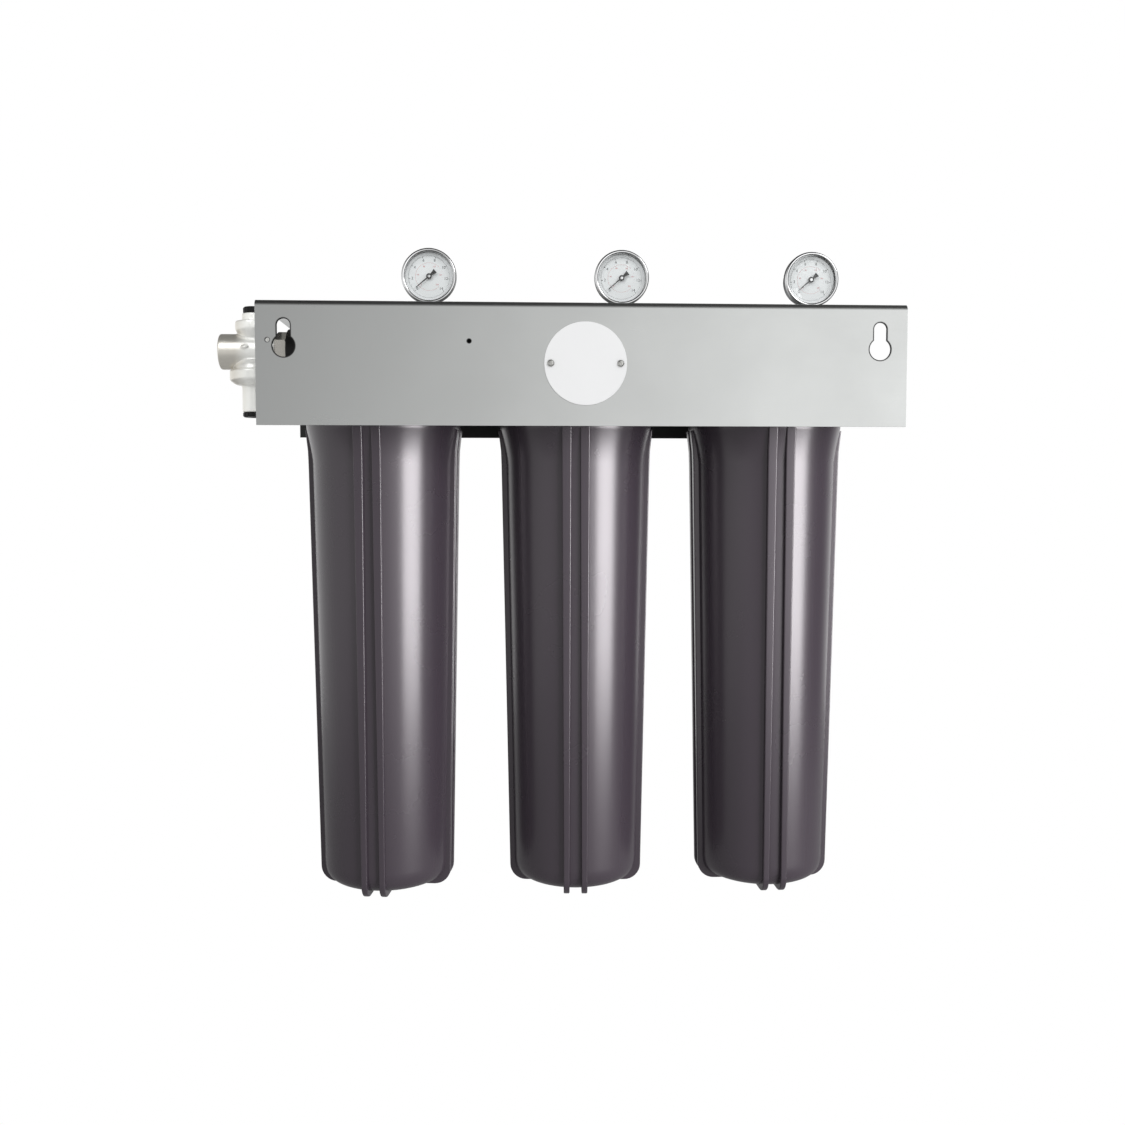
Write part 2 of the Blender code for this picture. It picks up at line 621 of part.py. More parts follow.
def make_head(side, x):
    """The cap of one housing, with its two ports and the bores that its fittings go in."""
    at = (x, axis_y, 0.0)
    head = turned(f"head_{side}", head_profile(), BLACK, at, steps=ROUND_STEPS)
    port = Vector((x, axis_y, port_z))
    waist = chamber_radius + HEAD_WALL / 2
    for label, sign in (("in", -1), ("out", 1)):
        turn = Matrix.Rotation(sign * pi / 2, 4, "Y")
        name = f"{side}_boss_{label}"
        join(head, rod(name, port_boss_radius, waist, port_reach, None, port, turn, MEDIUM_STEPS))
    web = rod(f"{side}_web", web_radius, 0.0, waist, None, port, ALONG_X)
    join(head, web)
    for label, sign in (("in", -1), ("out", 1)):
        turn = Matrix.Rotation(sign * pi / 2, 4, "Y")
        floor = port_reach - PORT_THREAD_DEPTH
        reach = port_reach + OVERRUN
        name = f"{side}_thread_{label}"
        thread = rod(name, PORT_THREAD_RADIUS, floor, reach, None, port, turn, MEDIUM_STEPS)
        inner_end = 0.0 if label == "out" else chamber_radius - PORT_THREAD_DEPTH
        passage = rod(f"{side}_passage_{label}", PORT_PASSAGE_RADIUS, inner_end, reach, None, port, turn)
        cut(head, thread, passage)
    nozzle_low = boss_z - HEAD_NOZZLE_LENGTH
    bore = nozzle_radius - HEAD_NOZZLE_WALL
    cut(head, rod(f"{side}_centre", bore, nozzle_low - OVERRUN, port_z, None, at))
    top = head_top + OVERRUN
    gauge_at = (x + gauge_offset, axis_y, 0.0)
    socket_floor = head_top - GAUGE_THREAD_LENGTH
    cut(
        head,
        rod(f"{side}_gauge_port", GAUGE_THREAD_RADIUS + GAP, socket_floor, top, None, gauge_at),
        rod(f"{side}_gauge_feed", GAUGE_FEED_RADIUS, port_z, top, None, gauge_at, steps=TINY_STEPS),
    )
    relief_at = (x - gauge_offset, axis_y, 0.0)
    pocket_floor = head_top - RELIEF_POCKET_DEPTH
    cut(
        head,
        rod(f"{side}_relief_pocket", RELIEF_POCKET_RADIUS, pocket_floor, top, None, relief_at),
        rod(f"{side}_relief_bore", RELIEF_STEM_RADIUS + GAP, roof_z - OVERRUN, top, None, relief_at),
    )
    for sx, sy in screw_places():
        screw_at = (x + sx, axis_y + sy, 0.0)
        low = screw_low - HEAD_SCREW_BORE_END
        radius = HEAD_SCREW_RADIUS + GAP
        cut(head, rod(f"{side}_screw_bore", radius, low, top, None, screw_at, steps=TINY_STEPS))


def make_head_screws(side, x):
    """Four hexagon screws that hold one head up to the bracket."""
    for number, (sx, sy) in enumerate(screw_places(), 1):
        at = (x + sx, axis_y + sy, 0.0)
        low = flange_top + GAP
        high = low + HEAD_SCREW_HEAD_HEIGHT
        screw = hexagon(f"head_screw_{side}_{number}", HEAD_SCREW_HALF_FLATS, low, high, ZINC, at)
        shank_top = low + HEAD_SCREW_HEAD_HEIGHT / 2
        name = f"screw_shank_{side}_{number}"
        join(screw, rod(name, HEAD_SCREW_RADIUS, screw_low, shank_top, None, at, steps=TINY_STEPS))


def crest(z):
    """The radius over the sump's ribs at a height."""
    return top_rib_radius - (flare_low - z) * SUMP_TAPER_SLOPE


def dome(low, high_radius, height):
    """The points of a domed end, down to the axis."""
    points = []
    for i in range(SUMP_DOME_RINGS + 1):
        t = pi / 2 * i / SUMP_DOME_RINGS
        radius = high_radius * cos(t) ** (2 / SUMP_DOME_POWER) if i < SUMP_DOME_RINGS else 0.0
        points.append((radius, low + height - height * sin(t) ** (2 / SUMP_DOME_POWER)))
    return points


def narrow_rib(rib):
    """Gives a rib its draft: it is narrower at the foot than at the top."""
    for vertex in rib.data.vertices:
        share_down = (flare_top - vertex.co.y) / (flare_top - foot_z)
        vertex.co.z *= 1 - (1 - SUMP_RIB_FOOT_WIDTH / SUMP_RIB_TOP_WIDTH) * share_down


def make_sump(side, x, clocking):
    """The long bowl: a turned body joined to its ribs, then hollowed out."""
    collar_z = skirt_z - GAP
    dome_top = dome_z + SUMP_DOME_HEIGHT
    body_top = crest(flare_low) - SUMP_RIB_HEIGHT
    body_low = crest(dome_top) - SUMP_RIB_HEIGHT
    neck = thread_radius - SUMP_NECK_STEP
    flare_turn = flare_low + SUMP_FLARE_LENGTH * SUMP_FLARE_HEIGHT_SHARE
    outer = [
        (0.0, rim_z),
        (thread_radius - SUMP_THREAD_CHAMFER, rim_z),
        (thread_radius, rim_z - SUMP_THREAD_CHAMFER),
        (thread_radius, collar_z + SUMP_NECK_STEP),
        (neck, collar_z),
        (body_top + SUMP_FLARE_WIDTH, flare_top),
        (body_top + SUMP_FLARE_WIDTH * SUMP_FLARE_WIDTH_SHARE, flare_turn),
        (body_top, flare_low),
    ]
    outer += dome(dome_z, body_low, SUMP_DOME_HEIGHT)
    turn = Matrix.Rotation(clocking, 4, "Z")
    at = (x, axis_y, 0.0)
    sump = turned(f"sump_{side}", outer, ANTHRACITE, at, turn, ROUND_STEPS)
    corner_z = foot_z + SUMP_FOOT_CORNER
    corner = (crest(corner_z) - SUMP_FOOT_CORNER, corner_z)
    right = [
        (body_top + SUMP_FLARE_WIDTH + SUMP_RIB_LEAD_IN, flare_top),
        (crest(flare_low) + SUMP_RIB_LEAD_IN / 2, flare_turn),
        (crest(flare_low), flare_low),
    ]
    right += arc(corner, SUMP_FOOT_CORNER, 0.0, -pi / 2, SUMP_FOOT_STEPS)
    right.append((SUMP_FOOT_INNER_RADIUS, foot_z))
    right.append((SUMP_FOOT_INNER_RADIUS - SUMP_FOOT_STAND, inner_dome_z))
    outline = right + [(-r, z) for r, z in reversed(right)]
    for axis, quarter in (("x", 0.0), ("y", pi / 2)):
        for number, sign in enumerate((-1, 1), 1):
            middle = sign * SUMP_RIB_PITCH / 2
            rib = plate(
                f"rib_{side}_{axis}_{number}",
                outline,
                middle - SUMP_RIB_TOP_WIDTH / 2,
                middle + SUMP_RIB_TOP_WIDTH / 2,
                None,
                at,
                turn @ Matrix.Rotation(quarter, 4, "Z") @ TO_FRONT,
            )
            narrow_rib(rib)
            join(sump, rib)
    inner_low = body_low - SUMP_WALL
    hollow_dome = dome(inner_dome_z, inner_low, SUMP_DOME_HEIGHT - SUMP_WALL / 2)
    mouth = rim_z + OVERRUN
    hollow = [(0.0, mouth), (mouth_radius, mouth), (mouth_radius, flare_low)] + hollow_dome
    cut(sump, turned(f"hollow_{side}", hollow, None, at, turn, ROUND_STEPS))
    low = inner_dome_z - SUMP_WALL / 2
    pin = CARTRIDGE_BORE_RADIUS - SUMP_PIN_PLAY
    seat = turned(
        f"seat_{side}",
        [
            (0.0, seat_z + SUMP_PIN_HEIGHT),
            (pin, seat_z + SUMP_PIN_HEIGHT),
            (pin, seat_z),
            (gasket_radius, seat_z),
            (gasket_radius, low),
            (0.0, low),
        ],
        None,
        at,
    )
    join(sump, seat)
    groove_low = rim_z + SEAL_STAND - 2 * SEAL_SECTION_RADIUS - GAP
    width = SEAL_SECTION_RADIUS + GAP
    groove = turned(
        f"groove_{side}",
        [
            (seal_radius + width, rim_z + OVERRUN),
            (seal_radius + width, groove_low),
            (seal_radius - width, groove_low),
            (seal_radius - width, rim_z + OVERRUN),
        ],
        None,
        at,
        turn,
        ROUND_STEPS,
        True,
    )
    cut(sump, groove)


def make_seal(side, x, clocking):
    """The O-ring in the groove of the sump's rim."""
    middle = rim_z + SEAL_STAND - SEAL_SECTION_RADIUS
    section = arc((seal_radius, middle), SEAL_SECTION_RADIUS, 0.0, -2 * pi, SEAL_STEPS)[:-1]
    turn = Matrix.Rotation(clocking, 4, "Z")
    turned(f"sump_seal_{side}", section, RUBBER, (x, axis_y, 0.0), turn, ROUND_STEPS, True)


def make_cartridge(side, x):
    """The filter cartridge: a tube of filter medium with an end cap and a flat gasket at each end."""
    medium = CARTRIDGE_RADIUS - CARTRIDGE_CAP_BAND
    step = CARTRIDGE_GASKET_RISE
    profile = [
        (gasket_radius, cartridge_top),
        (gasket_radius, cartridge_top - step),
        (CARTRIDGE_RADIUS, cartridge_top - step),
        (CARTRIDGE_RADIUS, cartridge_top - CARTRIDGE_CAP_HEIGHT),
        (medium, cartridge_top - CARTRIDGE_CAP_HEIGHT),
        (medium, cartridge_low + CARTRIDGE_CAP_HEIGHT),
        (CARTRIDGE_RADIUS, cartridge_low + CARTRIDGE_CAP_HEIGHT),
        (CARTRIDGE_RADIUS, cartridge_low + step),
        (gasket_radius, cartridge_low + step),
        (gasket_radius, cartridge_low),
        (CARTRIDGE_BORE_RADIUS, cartridge_low),
        (CARTRIDGE_BORE_RADIUS, cartridge_top),
    ]
    turned(f"cartridge_{side}", profile, MEDIUM, (x, axis_y, 0.0), UP, MEDIUM_STEPS, True)


def make_relief(side, x):
    """The red button that lets trapped pressure out of a head, and its spring."""
    at = (x - gauge_offset, axis_y, 0.0)
    low = flange_top + RELIEF_STAND
    top = low + RELIEF_HEAD_HEIGHT
    seal_top = roof_z - GAP
    profile = [
        (0.0, top),
        (RELIEF_HEAD_RADIUS - BUTTON_EDGE, top),
        (RELIEF_HEAD_RADIUS, top - BUTTON_EDGE),
        (RELIEF_HEAD_RADIUS, low),
        (RELIEF_STEM_RADIUS, low),
        (RELIEF_STEM_RADIUS, seal_top),
        (RELIEF_SEAL_RADIUS, seal_top),
        (RELIEF_SEAL_RADIUS, seal_top - RELIEF_SEAL_HEIGHT),
        (0.0, seal_top - RELIEF_SEAL_HEIGHT),
    ]
    turned(f"relief_button_{side}", profile, RED, at, steps=SMALL_STEPS)
    floor = head_top - RELIEF_POCKET_DEPTH + GAP
    coil(
        f"relief_spring_{side}",
        RELIEF_SPRING_RADIUS,
        RELIEF_SPRING_WIRE,
        RELIEF_SPRING_TURNS,
        floor,
        low - GAP,
        SPRING,
        at,
    )


def make_gauge(side, x):
    """A dial gauge about an axis that faces the front: bezel, window, dial, case, stem and pointer."""
    centre = (x + gauge_offset, gauge_face_y, gauge_z)
    window_front = -BEZEL_LIP - GAP
    rim = window_front - LENS_THICKNESS - GAP
    bezel_inner = BEZEL_RADIUS - BEZEL_WALL
    lip_radius = BEZEL_RADIUS - BEZEL_LIP_WIDTH
    bezel = [
        (BEZEL_RADIUS - BEZEL_LIP, 0.0),
        (BEZEL_RADIUS, -BEZEL_LIP),
        (BEZEL_RADIUS, -bezel_depth),
        (bezel_inner, -bezel_depth),
        (bezel_inner, -BEZEL_LIP),
        (lip_radius, -BEZEL_LIP),
        (lip_radius, -BEZEL_LIP / 2),
        (lip_radius + BEZEL_LIP / 2, 0.0),
    ]
    turned(f"gauge_bezel_{side}", bezel, CHROME, centre, TO_FRONT, MEDIUM_STEPS, True)
    fit = bezel_inner - GAP
    rod(f"gauge_lens_{side}", fit, rim + GAP, window_front, GLASS, centre, TO_FRONT, MEDIUM_STEPS)
    case_radius = BEZEL_RADIUS - CASE_STEP
    inner = case_radius - CASE_WALL
    back = rim - CASE_DEPTH
    floor = back + CASE_WALL
    case_profile = [
        (0.0, floor),
        (inner - CASE_BACK_EDGE, floor),
        (inner, floor + CASE_BACK_EDGE),
        (inner, rim),
        (fit, rim),
        (fit, rim - CASE_FLANGE),
        (case_radius, rim - CASE_FLANGE),
        (case_radius, back + CASE_BACK_EDGE),
        (case_radius - CASE_BACK_EDGE, back),
        (0.0, back),
    ]
    case = turned(f"gauge_case_{side}", case_profile, CHROME, centre, TO_FRONT, MEDIUM_STEPS)
    cut(case, stem_block(f"case_slot_{side}", x, GAP))
    dial_back = -dial_depth - DIAL_THICKNESS
    name = f"gauge_dial_{side}"
    dial = rod(name, inner - GAP, dial_back, -dial_depth, WHITE, centre, TO_FRONT, MEDIUM_STEPS)
    low, high = dial_back - OVERRUN, OVERRUN - dial_depth
    cut(dial, rod(f"dial_hole_{side}", DIAL_HOLE_RADIUS, low, high, None, centre, TO_FRONT, TINY_STEPS))
    make_stem(side, x, centre)
    make_pointer(side, centre)


def stem_block(name, x, clearance):
    """The upper block of a gauge's stem, which passes through the case's wall behind the dial."""
    half = GAUGE_BLOCK_WIDTH / 2 + clearance
    stem_x = x + gauge_offset
    front = gauge_face_y + bezel_depth + GAP - clearance
    back = axis_y + GAUGE_SQUARE_HALF + clearance
    low = square_top - GAUGE_SQUARE_HEIGHT / 2
    return block(name, (stem_x - half, front, low), (stem_x + half, back, gauge_z + GAUGE_BLOCK_RISE), None)


def make_stem(side, x, centre):
    """The brass stem: thread, square, block behind the dial, and the arbor that turns the pointer."""
    at = (x + gauge_offset, axis_y, 0.0)
    low = flange_top + GAUGE_SQUARE_STAND
    half = GAUGE_SQUARE_HALF
    stem = block(
        f"gauge_stem_{side}",
        (at[0] - half, axis_y - half, low),
        (at[0] + half, axis_y + half, square_top),
        BRASS,
    )
    thread_low = head_top - GAUGE_THREAD_LENGTH + GAP
    thread_top = low + GAUGE_SQUARE_HEIGHT / 2
    thread = rod(f"stem_thread_{side}", GAUGE_THREAD_RADIUS, thread_low, thread_top, None, at)
    arbor_low = -bezel_depth - GAUGE_SQUARE_HALF / 2
    arbor_top = POINTER_RUN + POINTER_SOCKET_DEPTH - dial_depth - GAP
    arbor = rod(f"arbor_{side}", ARBOR_RADIUS, arbor_low, arbor_top, None, centre, TO_FRONT, TINY_STEPS)
    join(stem, thread, stem_block(f"stem_block_{side}", x, 0.0), arbor)
    name = f"stem_feed_{side}"
    cut(stem, rod(name, GAUGE_FEED_RADIUS, thread_low - OVERRUN, thread_top, None, at, steps=TINY_STEPS))


def make_pointer(side, centre):
    """The pointer: needle, hub and a tail that widens, cut from one outline."""
    low = -dial_depth + POINTER_RUN
    needle = [
        (0.0, POINTER_ROOT_WIDTH / 2),
        (-POINTER_LENGTH, POINTER_TIP_WIDTH / 2),
        (-POINTER_LENGTH, -POINTER_TIP_WIDTH / 2),
        (0.0, -POINTER_ROOT_WIDTH / 2),
        (POINTER_HUB_RADIUS, -POINTER_TAIL_ROOT_WIDTH / 2),
        (POINTER_TAIL_LENGTH, -POINTER_TAIL_WIDTH / 2),
        (POINTER_TAIL_LENGTH, POINTER_TAIL_WIDTH / 2),
        (POINTER_HUB_RADIUS, POINTER_TAIL_ROOT_WIDTH / 2),
    ]
    turn = TO_FRONT @ Matrix.Rotation(POINTER_REST - pi, 4, "Z")
    pointer = plate(f"gauge_pointer_{side}", needle, low, low + POINTER_THICKNESS, BLACK, centre, turn)
    hub_top = low + POINTER_HUB_HEIGHT
    join(pointer, rod(f"hub_{side}", POINTER_HUB_RADIUS, low, hub_top, None, centre, TO_FRONT))
    name = f"hub_socket_{side}"
    socket_low, socket_top = low - OVERRUN, low + POINTER_SOCKET_DEPTH
    radius = ARBOR_RADIUS + GAP
    cut(pointer, rod(name, radius, socket_low, socket_top, None, centre, TO_FRONT, TINY_STEPS))


def make_link_nipple(name, x):
    """A short pipe nipple between the ports of two neighbouring heads."""
    half = NIPPLE_GAP / 2 + PORT_THREAD_DEPTH - NIPPLE_SLACK
    radius = PORT_THREAD_RADIUS - GAP
    bore = radius - NIPPLE_WALL
    chamfer = NIPPLE_SLACK
    profile = [
        (radius - chamfer, half),
        (radius, half - chamfer),
        (radius, chamfer - half),
        (radius - chamfer, -half),
        (bore, -half),
        (bore, half),
    ]
    turned(name, profile, NICKEL, (x, axis_y, port_z), ALONG_X, MEDIUM_STEPS, True)


def make_inlet_nipple():
    """The hexagon nipple between the valve and the first head."""
    at = (hex_left, axis_y, port_z)
    middle = HEX_LENGTH / 2
    head_end = HEX_LENGTH + PORT_THREAD_DEPTH - NIPPLE_SLACK
    valve_end = NIPPLE_SLACK - VALVE_THREAD_DEPTH
    half_flats = PORT_THREAD_RADIUS + HEX_LEDGE
    nipple = hexagon("inlet_nipple", half_flats, 0.0, HEX_LENGTH, NICKEL, at, ALONG_X)
    head_side = PORT_THREAD_RADIUS - GAP
    valve_side = VALVE_THREAD_RADIUS - GAP
    join(
        nipple,
        rod("nipple_head_side", head_side, middle, head_end, None, at, ALONG_X, MEDIUM_STEPS),
        rod("nipple_valve_side", valve_side, valve_end, middle, None, at, ALONG_X, MEDIUM_STEPS),
    )
    low, high = valve_end - OVERRUN, head_end + OVERRUN
    cut(nipple, rod("nipple_bore", VALVE_PASSAGE_RADIUS, low, high, None, at, ALONG_X))


def make_valve_body():
    """The reducing valve's casting: an upright body on a horizontal barrel, with the spring tube below."""
    at = (valve_x, axis_y, port_z)
    tube = VALVE_CHAMBER_RADIUS + VALVE_TUBE_WALL
    profile = [
        (0.0, VALVE_NECK_TOP),
        (VALVE_NECK_RADIUS, VALVE_NECK_TOP),
        (VALVE_NECK_RADIUS, VALVE_CUP_TOP),
        (VALVE_CUP_RADIUS - VALVE_EDGE, VALVE_CUP_TOP),
        (VALVE_CUP_RADIUS, VALVE_CUP_TOP - VALVE_EDGE),
        (VALVE_CUP_RADIUS, VALVE_CUP_LOW),
        (VALVE_WAIST_RADIUS, VALVE_WAIST_TOP),
        (VALVE_WAIST_RADIUS, VALVE_WAIST_LOW),
        (VALVE_BOWL_RADIUS, VALVE_BOWL_TOP),
        (VALVE_BOWL_RADIUS, VALVE_BOWL_LOW),
        (VALVE_BOWL_RADIUS - VALVE_BOWL_EDGE, VALVE_BOWL_FOOT),
        (tube + VALVE_EDGE, VALVE_BOWL_FOOT - VALVE_EDGE / 2),
        (tube, VALVE_BOWL_FOOT - VALVE_EDGE * 2),
        (tube, VALVE_TUBE_END),
        (0.0, VALVE_TUBE_END),
    ]
    body = turned("valve_body", profile, CAST, at, steps=MEDIUM_STEPS)
    inlet, outlet = -VALVE_INLET_REACH, VALVE_OUTLET_REACH
    edge = VALVE_BARREL_EDGE
    join(body, rod("barrel", VALVE_BARREL_RADIUS, inlet, outlet, None, at, ALONG_X, MEDIUM_STEPS, edge))
    depth = VALVE_THREAD_DEPTH
    cap_bore_low = VALVE_NECK_TOP - VALVE_CAP_SPIGOT_LENGTH - GAP
    cap_bore = VALVE_CAP_SPIGOT_RADIUS + GAP
    low, high = inlet - OVERRUN, outlet + OVERRUN
    cut(
        body,
        rod("inlet_thread", VALVE_THREAD_RADIUS, low, inlet + depth, None, at, ALONG_X, MEDIUM_STEPS),
        rod("outlet_thread", VALVE_THREAD_RADIUS, outlet - depth, high, None, at, ALONG_X, MEDIUM_STEPS),
        rod("flow_bore", VALVE_PASSAGE_RADIUS, low, high, None, at, ALONG_X),
        rod("chamber", VALVE_CHAMBER_RADIUS, VALVE_TUBE_END - OVERRUN, VALVE_CHAMBER_TOP, None, at),
        rod("cap_bore", cap_bore, cap_bore_low, VALVE_NECK_TOP + OVERRUN, None, at),
    )


def make_valve_cap():
    """The black cap that closes the port on top of the valve."""
    low = VALVE_NECK_TOP + GAP
    top = low + VALVE_CAP_HEIGHT
    spigot_low = VALVE_NECK_TOP - VALVE_CAP_SPIGOT_LENGTH
    profile = [
        (0.0, top),
        (VALVE_CAP_RADIUS - VALVE_EDGE, top),
        (VALVE_CAP_RADIUS, top - VALVE_EDGE),
        (VALVE_CAP_RADIUS, low),
        (VALVE_CAP_SPIGOT_RADIUS, low),
        (VALVE_CAP_SPIGOT_RADIUS, spigot_low),
        (0.0, spigot_low),
    ]
    turned("valve_cap", profile, BLACK, (valve_x, axis_y, port_z))


def make_valve_works():
    """The piston, the spring under it, and the adjuster that the spring stands on."""
    at = (valve_x, axis_y, port_z)
    radius = VALVE_CHAMBER_RADIUS - PISTON_PLAY
    disc_top = VALVE_CHAMBER_TOP - PISTON_ROOM
    disc_low = disc_top - PISTON_DISC_HEIGHT
    head_low = PISTON_HEAD_TOP - PISTON_HEAD_HEIGHT
    piston = [
        (0.0, disc_top),
        (radius, disc_top),
        (radius, disc_low),
        (PISTON_STEM_RADIUS, disc_low),
        (PISTON_STEM_RADIUS, PISTON_HEAD_TOP),
        (radius, PISTON_HEAD_TOP),
        (radius, head_low),
        (0.0, head_low),
    ]
    turned("valve_piston", piston, BRASS, at)
    high = head_low - GAP
    low = high - VALVE_SPRING_LENGTH
    coil_radius = VALVE_CHAMBER_RADIUS - VALVE_SPRING_INSET
    coil("valve_spring", coil_radius, VALVE_SPRING_WIRE, VALVE_SPRING_TURNS, low, high, SPRING, at)
    knob_top = VALVE_TUBE_END - GAP
    knob_low = knob_top - ADJUSTER_HEIGHT
    plug = VALVE_CHAMBER_RADIUS - ADJUSTER_PLAY
    adjuster = [
        (0.0, low - GAP),
        (plug, low - GAP),
        (plug, knob_top),
        (ADJUSTER_RADIUS, knob_top),
        (ADJUSTER_RADIUS, knob_low + VALVE_EDGE),
        (ADJUSTER_RADIUS - VALVE_EDGE, knob_low),
        (0.0, knob_low),
    ]
    turned("valve_adjuster", adjuster, BLACK, at)


make_bracket()
make_label()
for side, (housing_x, clocking) in HOUSINGS.items():
    make_head(side, housing_x)
    make_head_screws(side, housing_x)
    make_sump(side, housing_x, clocking)
    make_seal(side, housing_x, clocking)
    make_cartridge(side, housing_x)
    make_relief(side, housing_x)
    make_gauge(side, housing_x)
make_link_nipple("link_nipple_left", HOUSING_SHIFT - spacing / 2)
make_link_nipple("link_nipple_right", HOUSING_SHIFT + spacing / 2)
make_inlet_nipple()
make_valve_body()
make_valve_cap()
make_valve_works()
print(f"{len(PARTS.objects)} pieces")
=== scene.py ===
# %% [markdown]
# # A three-stage water filter for a whole house
#
# The filter hangs from a wall: a folded steel bracket carries three black heads, and a long ribbed sump
# unscrews from each one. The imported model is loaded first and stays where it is. Every piece made here
# replaces a piece of that model, or prints a scale on one.

from math import atan2, cos, pi, radians, sin

import bmesh
import bpy
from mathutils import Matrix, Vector


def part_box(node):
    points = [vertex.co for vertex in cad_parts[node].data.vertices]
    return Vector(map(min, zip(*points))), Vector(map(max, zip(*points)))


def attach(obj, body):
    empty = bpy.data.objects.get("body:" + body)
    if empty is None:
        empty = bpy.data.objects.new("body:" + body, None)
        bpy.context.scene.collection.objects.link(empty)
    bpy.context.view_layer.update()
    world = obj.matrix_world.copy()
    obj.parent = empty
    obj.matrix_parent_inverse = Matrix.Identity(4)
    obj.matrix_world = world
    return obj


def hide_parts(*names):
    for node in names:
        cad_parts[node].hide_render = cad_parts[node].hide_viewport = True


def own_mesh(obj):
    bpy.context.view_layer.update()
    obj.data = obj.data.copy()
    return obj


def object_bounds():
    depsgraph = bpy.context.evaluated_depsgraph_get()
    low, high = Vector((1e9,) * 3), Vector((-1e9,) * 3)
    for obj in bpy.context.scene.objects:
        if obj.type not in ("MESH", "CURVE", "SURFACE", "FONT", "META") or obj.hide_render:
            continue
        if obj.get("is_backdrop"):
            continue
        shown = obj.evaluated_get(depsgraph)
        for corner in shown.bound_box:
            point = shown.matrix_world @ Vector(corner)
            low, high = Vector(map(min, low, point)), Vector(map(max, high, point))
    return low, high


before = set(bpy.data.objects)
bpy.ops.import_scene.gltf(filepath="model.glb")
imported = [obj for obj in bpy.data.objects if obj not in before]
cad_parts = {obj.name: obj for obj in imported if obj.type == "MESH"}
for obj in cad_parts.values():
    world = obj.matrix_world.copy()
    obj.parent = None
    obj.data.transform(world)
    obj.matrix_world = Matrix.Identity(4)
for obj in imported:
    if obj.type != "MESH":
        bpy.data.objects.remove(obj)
cad_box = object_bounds()
SIDES = ("left", "middle", "right")

# %% [markdown]
# ## Tools for editing
#
# Operators act on whatever is selected, and loading the model leaves its nodes selected. Each tool here
# therefore selects first and acts second. Every piece is made at the origin, then turned and moved, and its
# place is applied, so that its object ends at the origin like a node of the model.

# %% Select, edit and apply
MERGE = 0.00001
SMOOTH_ANGLE = radians(32)
ORIGIN = (0.0, 0.0, 0.0)
UP = (0.0, 0.0, 0.0)
ALONG_X = (0.0, pi / 2, 0.0)
AGAINST_X = (0.0, -pi / 2, 0.0)
TO_FRONT = (pi / 2, 0.0, 0.0)


def only(obj):
    """Makes an object the one that is selected and active."""
    bpy.ops.object.select_all(action="DESELECT")
    obj.select_set(True)
    bpy.context.view_layer.objects.active = obj


def add(primitive, name, **settings):
    """Adds a primitive with nothing else selected, and names it."""
    bpy.ops.object.select_all(action="DESELECT")
    primitive(**settings)
    obj = bpy.context.object
    obj.name = obj.data.name = name
    return obj


def edit(obj):
    only(obj)
    bpy.ops.object.mode_set(mode="EDIT")
    bpy.ops.mesh.select_mode(type="VERT")
    bpy.ops.mesh.select_all(action="SELECT")


def leave():
    bpy.ops.object.mode_set(mode="OBJECT")


def pick(kind, test):
    """Selects the vertices, edges or faces of the edited mesh that pass a test."""
    bpy.ops.mesh.select_mode(type={"verts": "VERT", "edges": "EDGE", "faces": "FACE"}[kind])
    bpy.ops.mesh.select_all(action="DESELECT")
    mesh = bmesh.from_edit_mesh(bpy.context.object.data)
    for element in getattr(mesh, kind):
        if test(element):
            element.select_set(True)
    mesh.select_flush_mode()
    bmesh.update_edit_mesh(bpy.context.object.data)


def extrude(step):
    bpy.ops.mesh.extrude_region_move(TRANSFORM_OT_translate={"value": step})


def weld():
    """Merges doubles, points the faces outwards and leaves edit mode."""
    bpy.ops.mesh.select_mode(type="VERT")
    bpy.ops.mesh.select_all(action="SELECT")
    bpy.ops.mesh.remove_doubles(threshold=MERGE)
    bpy.ops.mesh.normals_make_consistent(inside=False)
    leave()


def use(obj, kind, **settings):
    """Adds a modifier and applies it."""
    modifier = obj.modifiers.new(kind.lower(), kind)
    for key, value in settings.items():
        setattr(modifier, key, value)
    only(obj)
    bpy.ops.object.modifier_apply(modifier=modifier.name)


def put(obj, at, turn=UP):
    """Turns and moves a piece, and applies its place to its mesh."""
    only(obj)
    obj.rotation_euler = turn
    obj.location = at
    bpy.ops.object.transform_apply(location=True, rotation=True, scale=True)
    return obj


def smooth(obj, angle=SMOOTH_ANGLE):
    only(obj)
    bpy.ops.object.shade_smooth_by_angle(angle=angle)
    return obj


def copy(obj, name, at=ORIGIN, turn=UP):
    made = obj.copy()
    made.data = obj.data.copy()
    made.name = made.data.name = name
    bpy.context.scene.collection.objects.link(made)
    return put(made, at, turn)


def discard(*pieces):
    for piece in pieces:
        bpy.data.objects.remove(piece)


print(f"points closer than {MERGE} m are merged")

# %% [markdown]
# ## Tools for turning and cutting
#
# Most of the pieces are turned, as on a lathe. They could start from cylinders, but a drawn outline holds
# every step and groove at once. An outline of (radius, height, corner) points is drawn by extruding one
# vertex from point to point, its corners are rounded with a vertex bevel, and the wire is spun about Z.
# Bores and slots are then cut with the Boolean modifier.

# %% Draw, turn and cut
ROUND_STEPS = 96
SMALL_STEPS = 48
FEW_STEPS = 24
CORNER_STEPS = 4


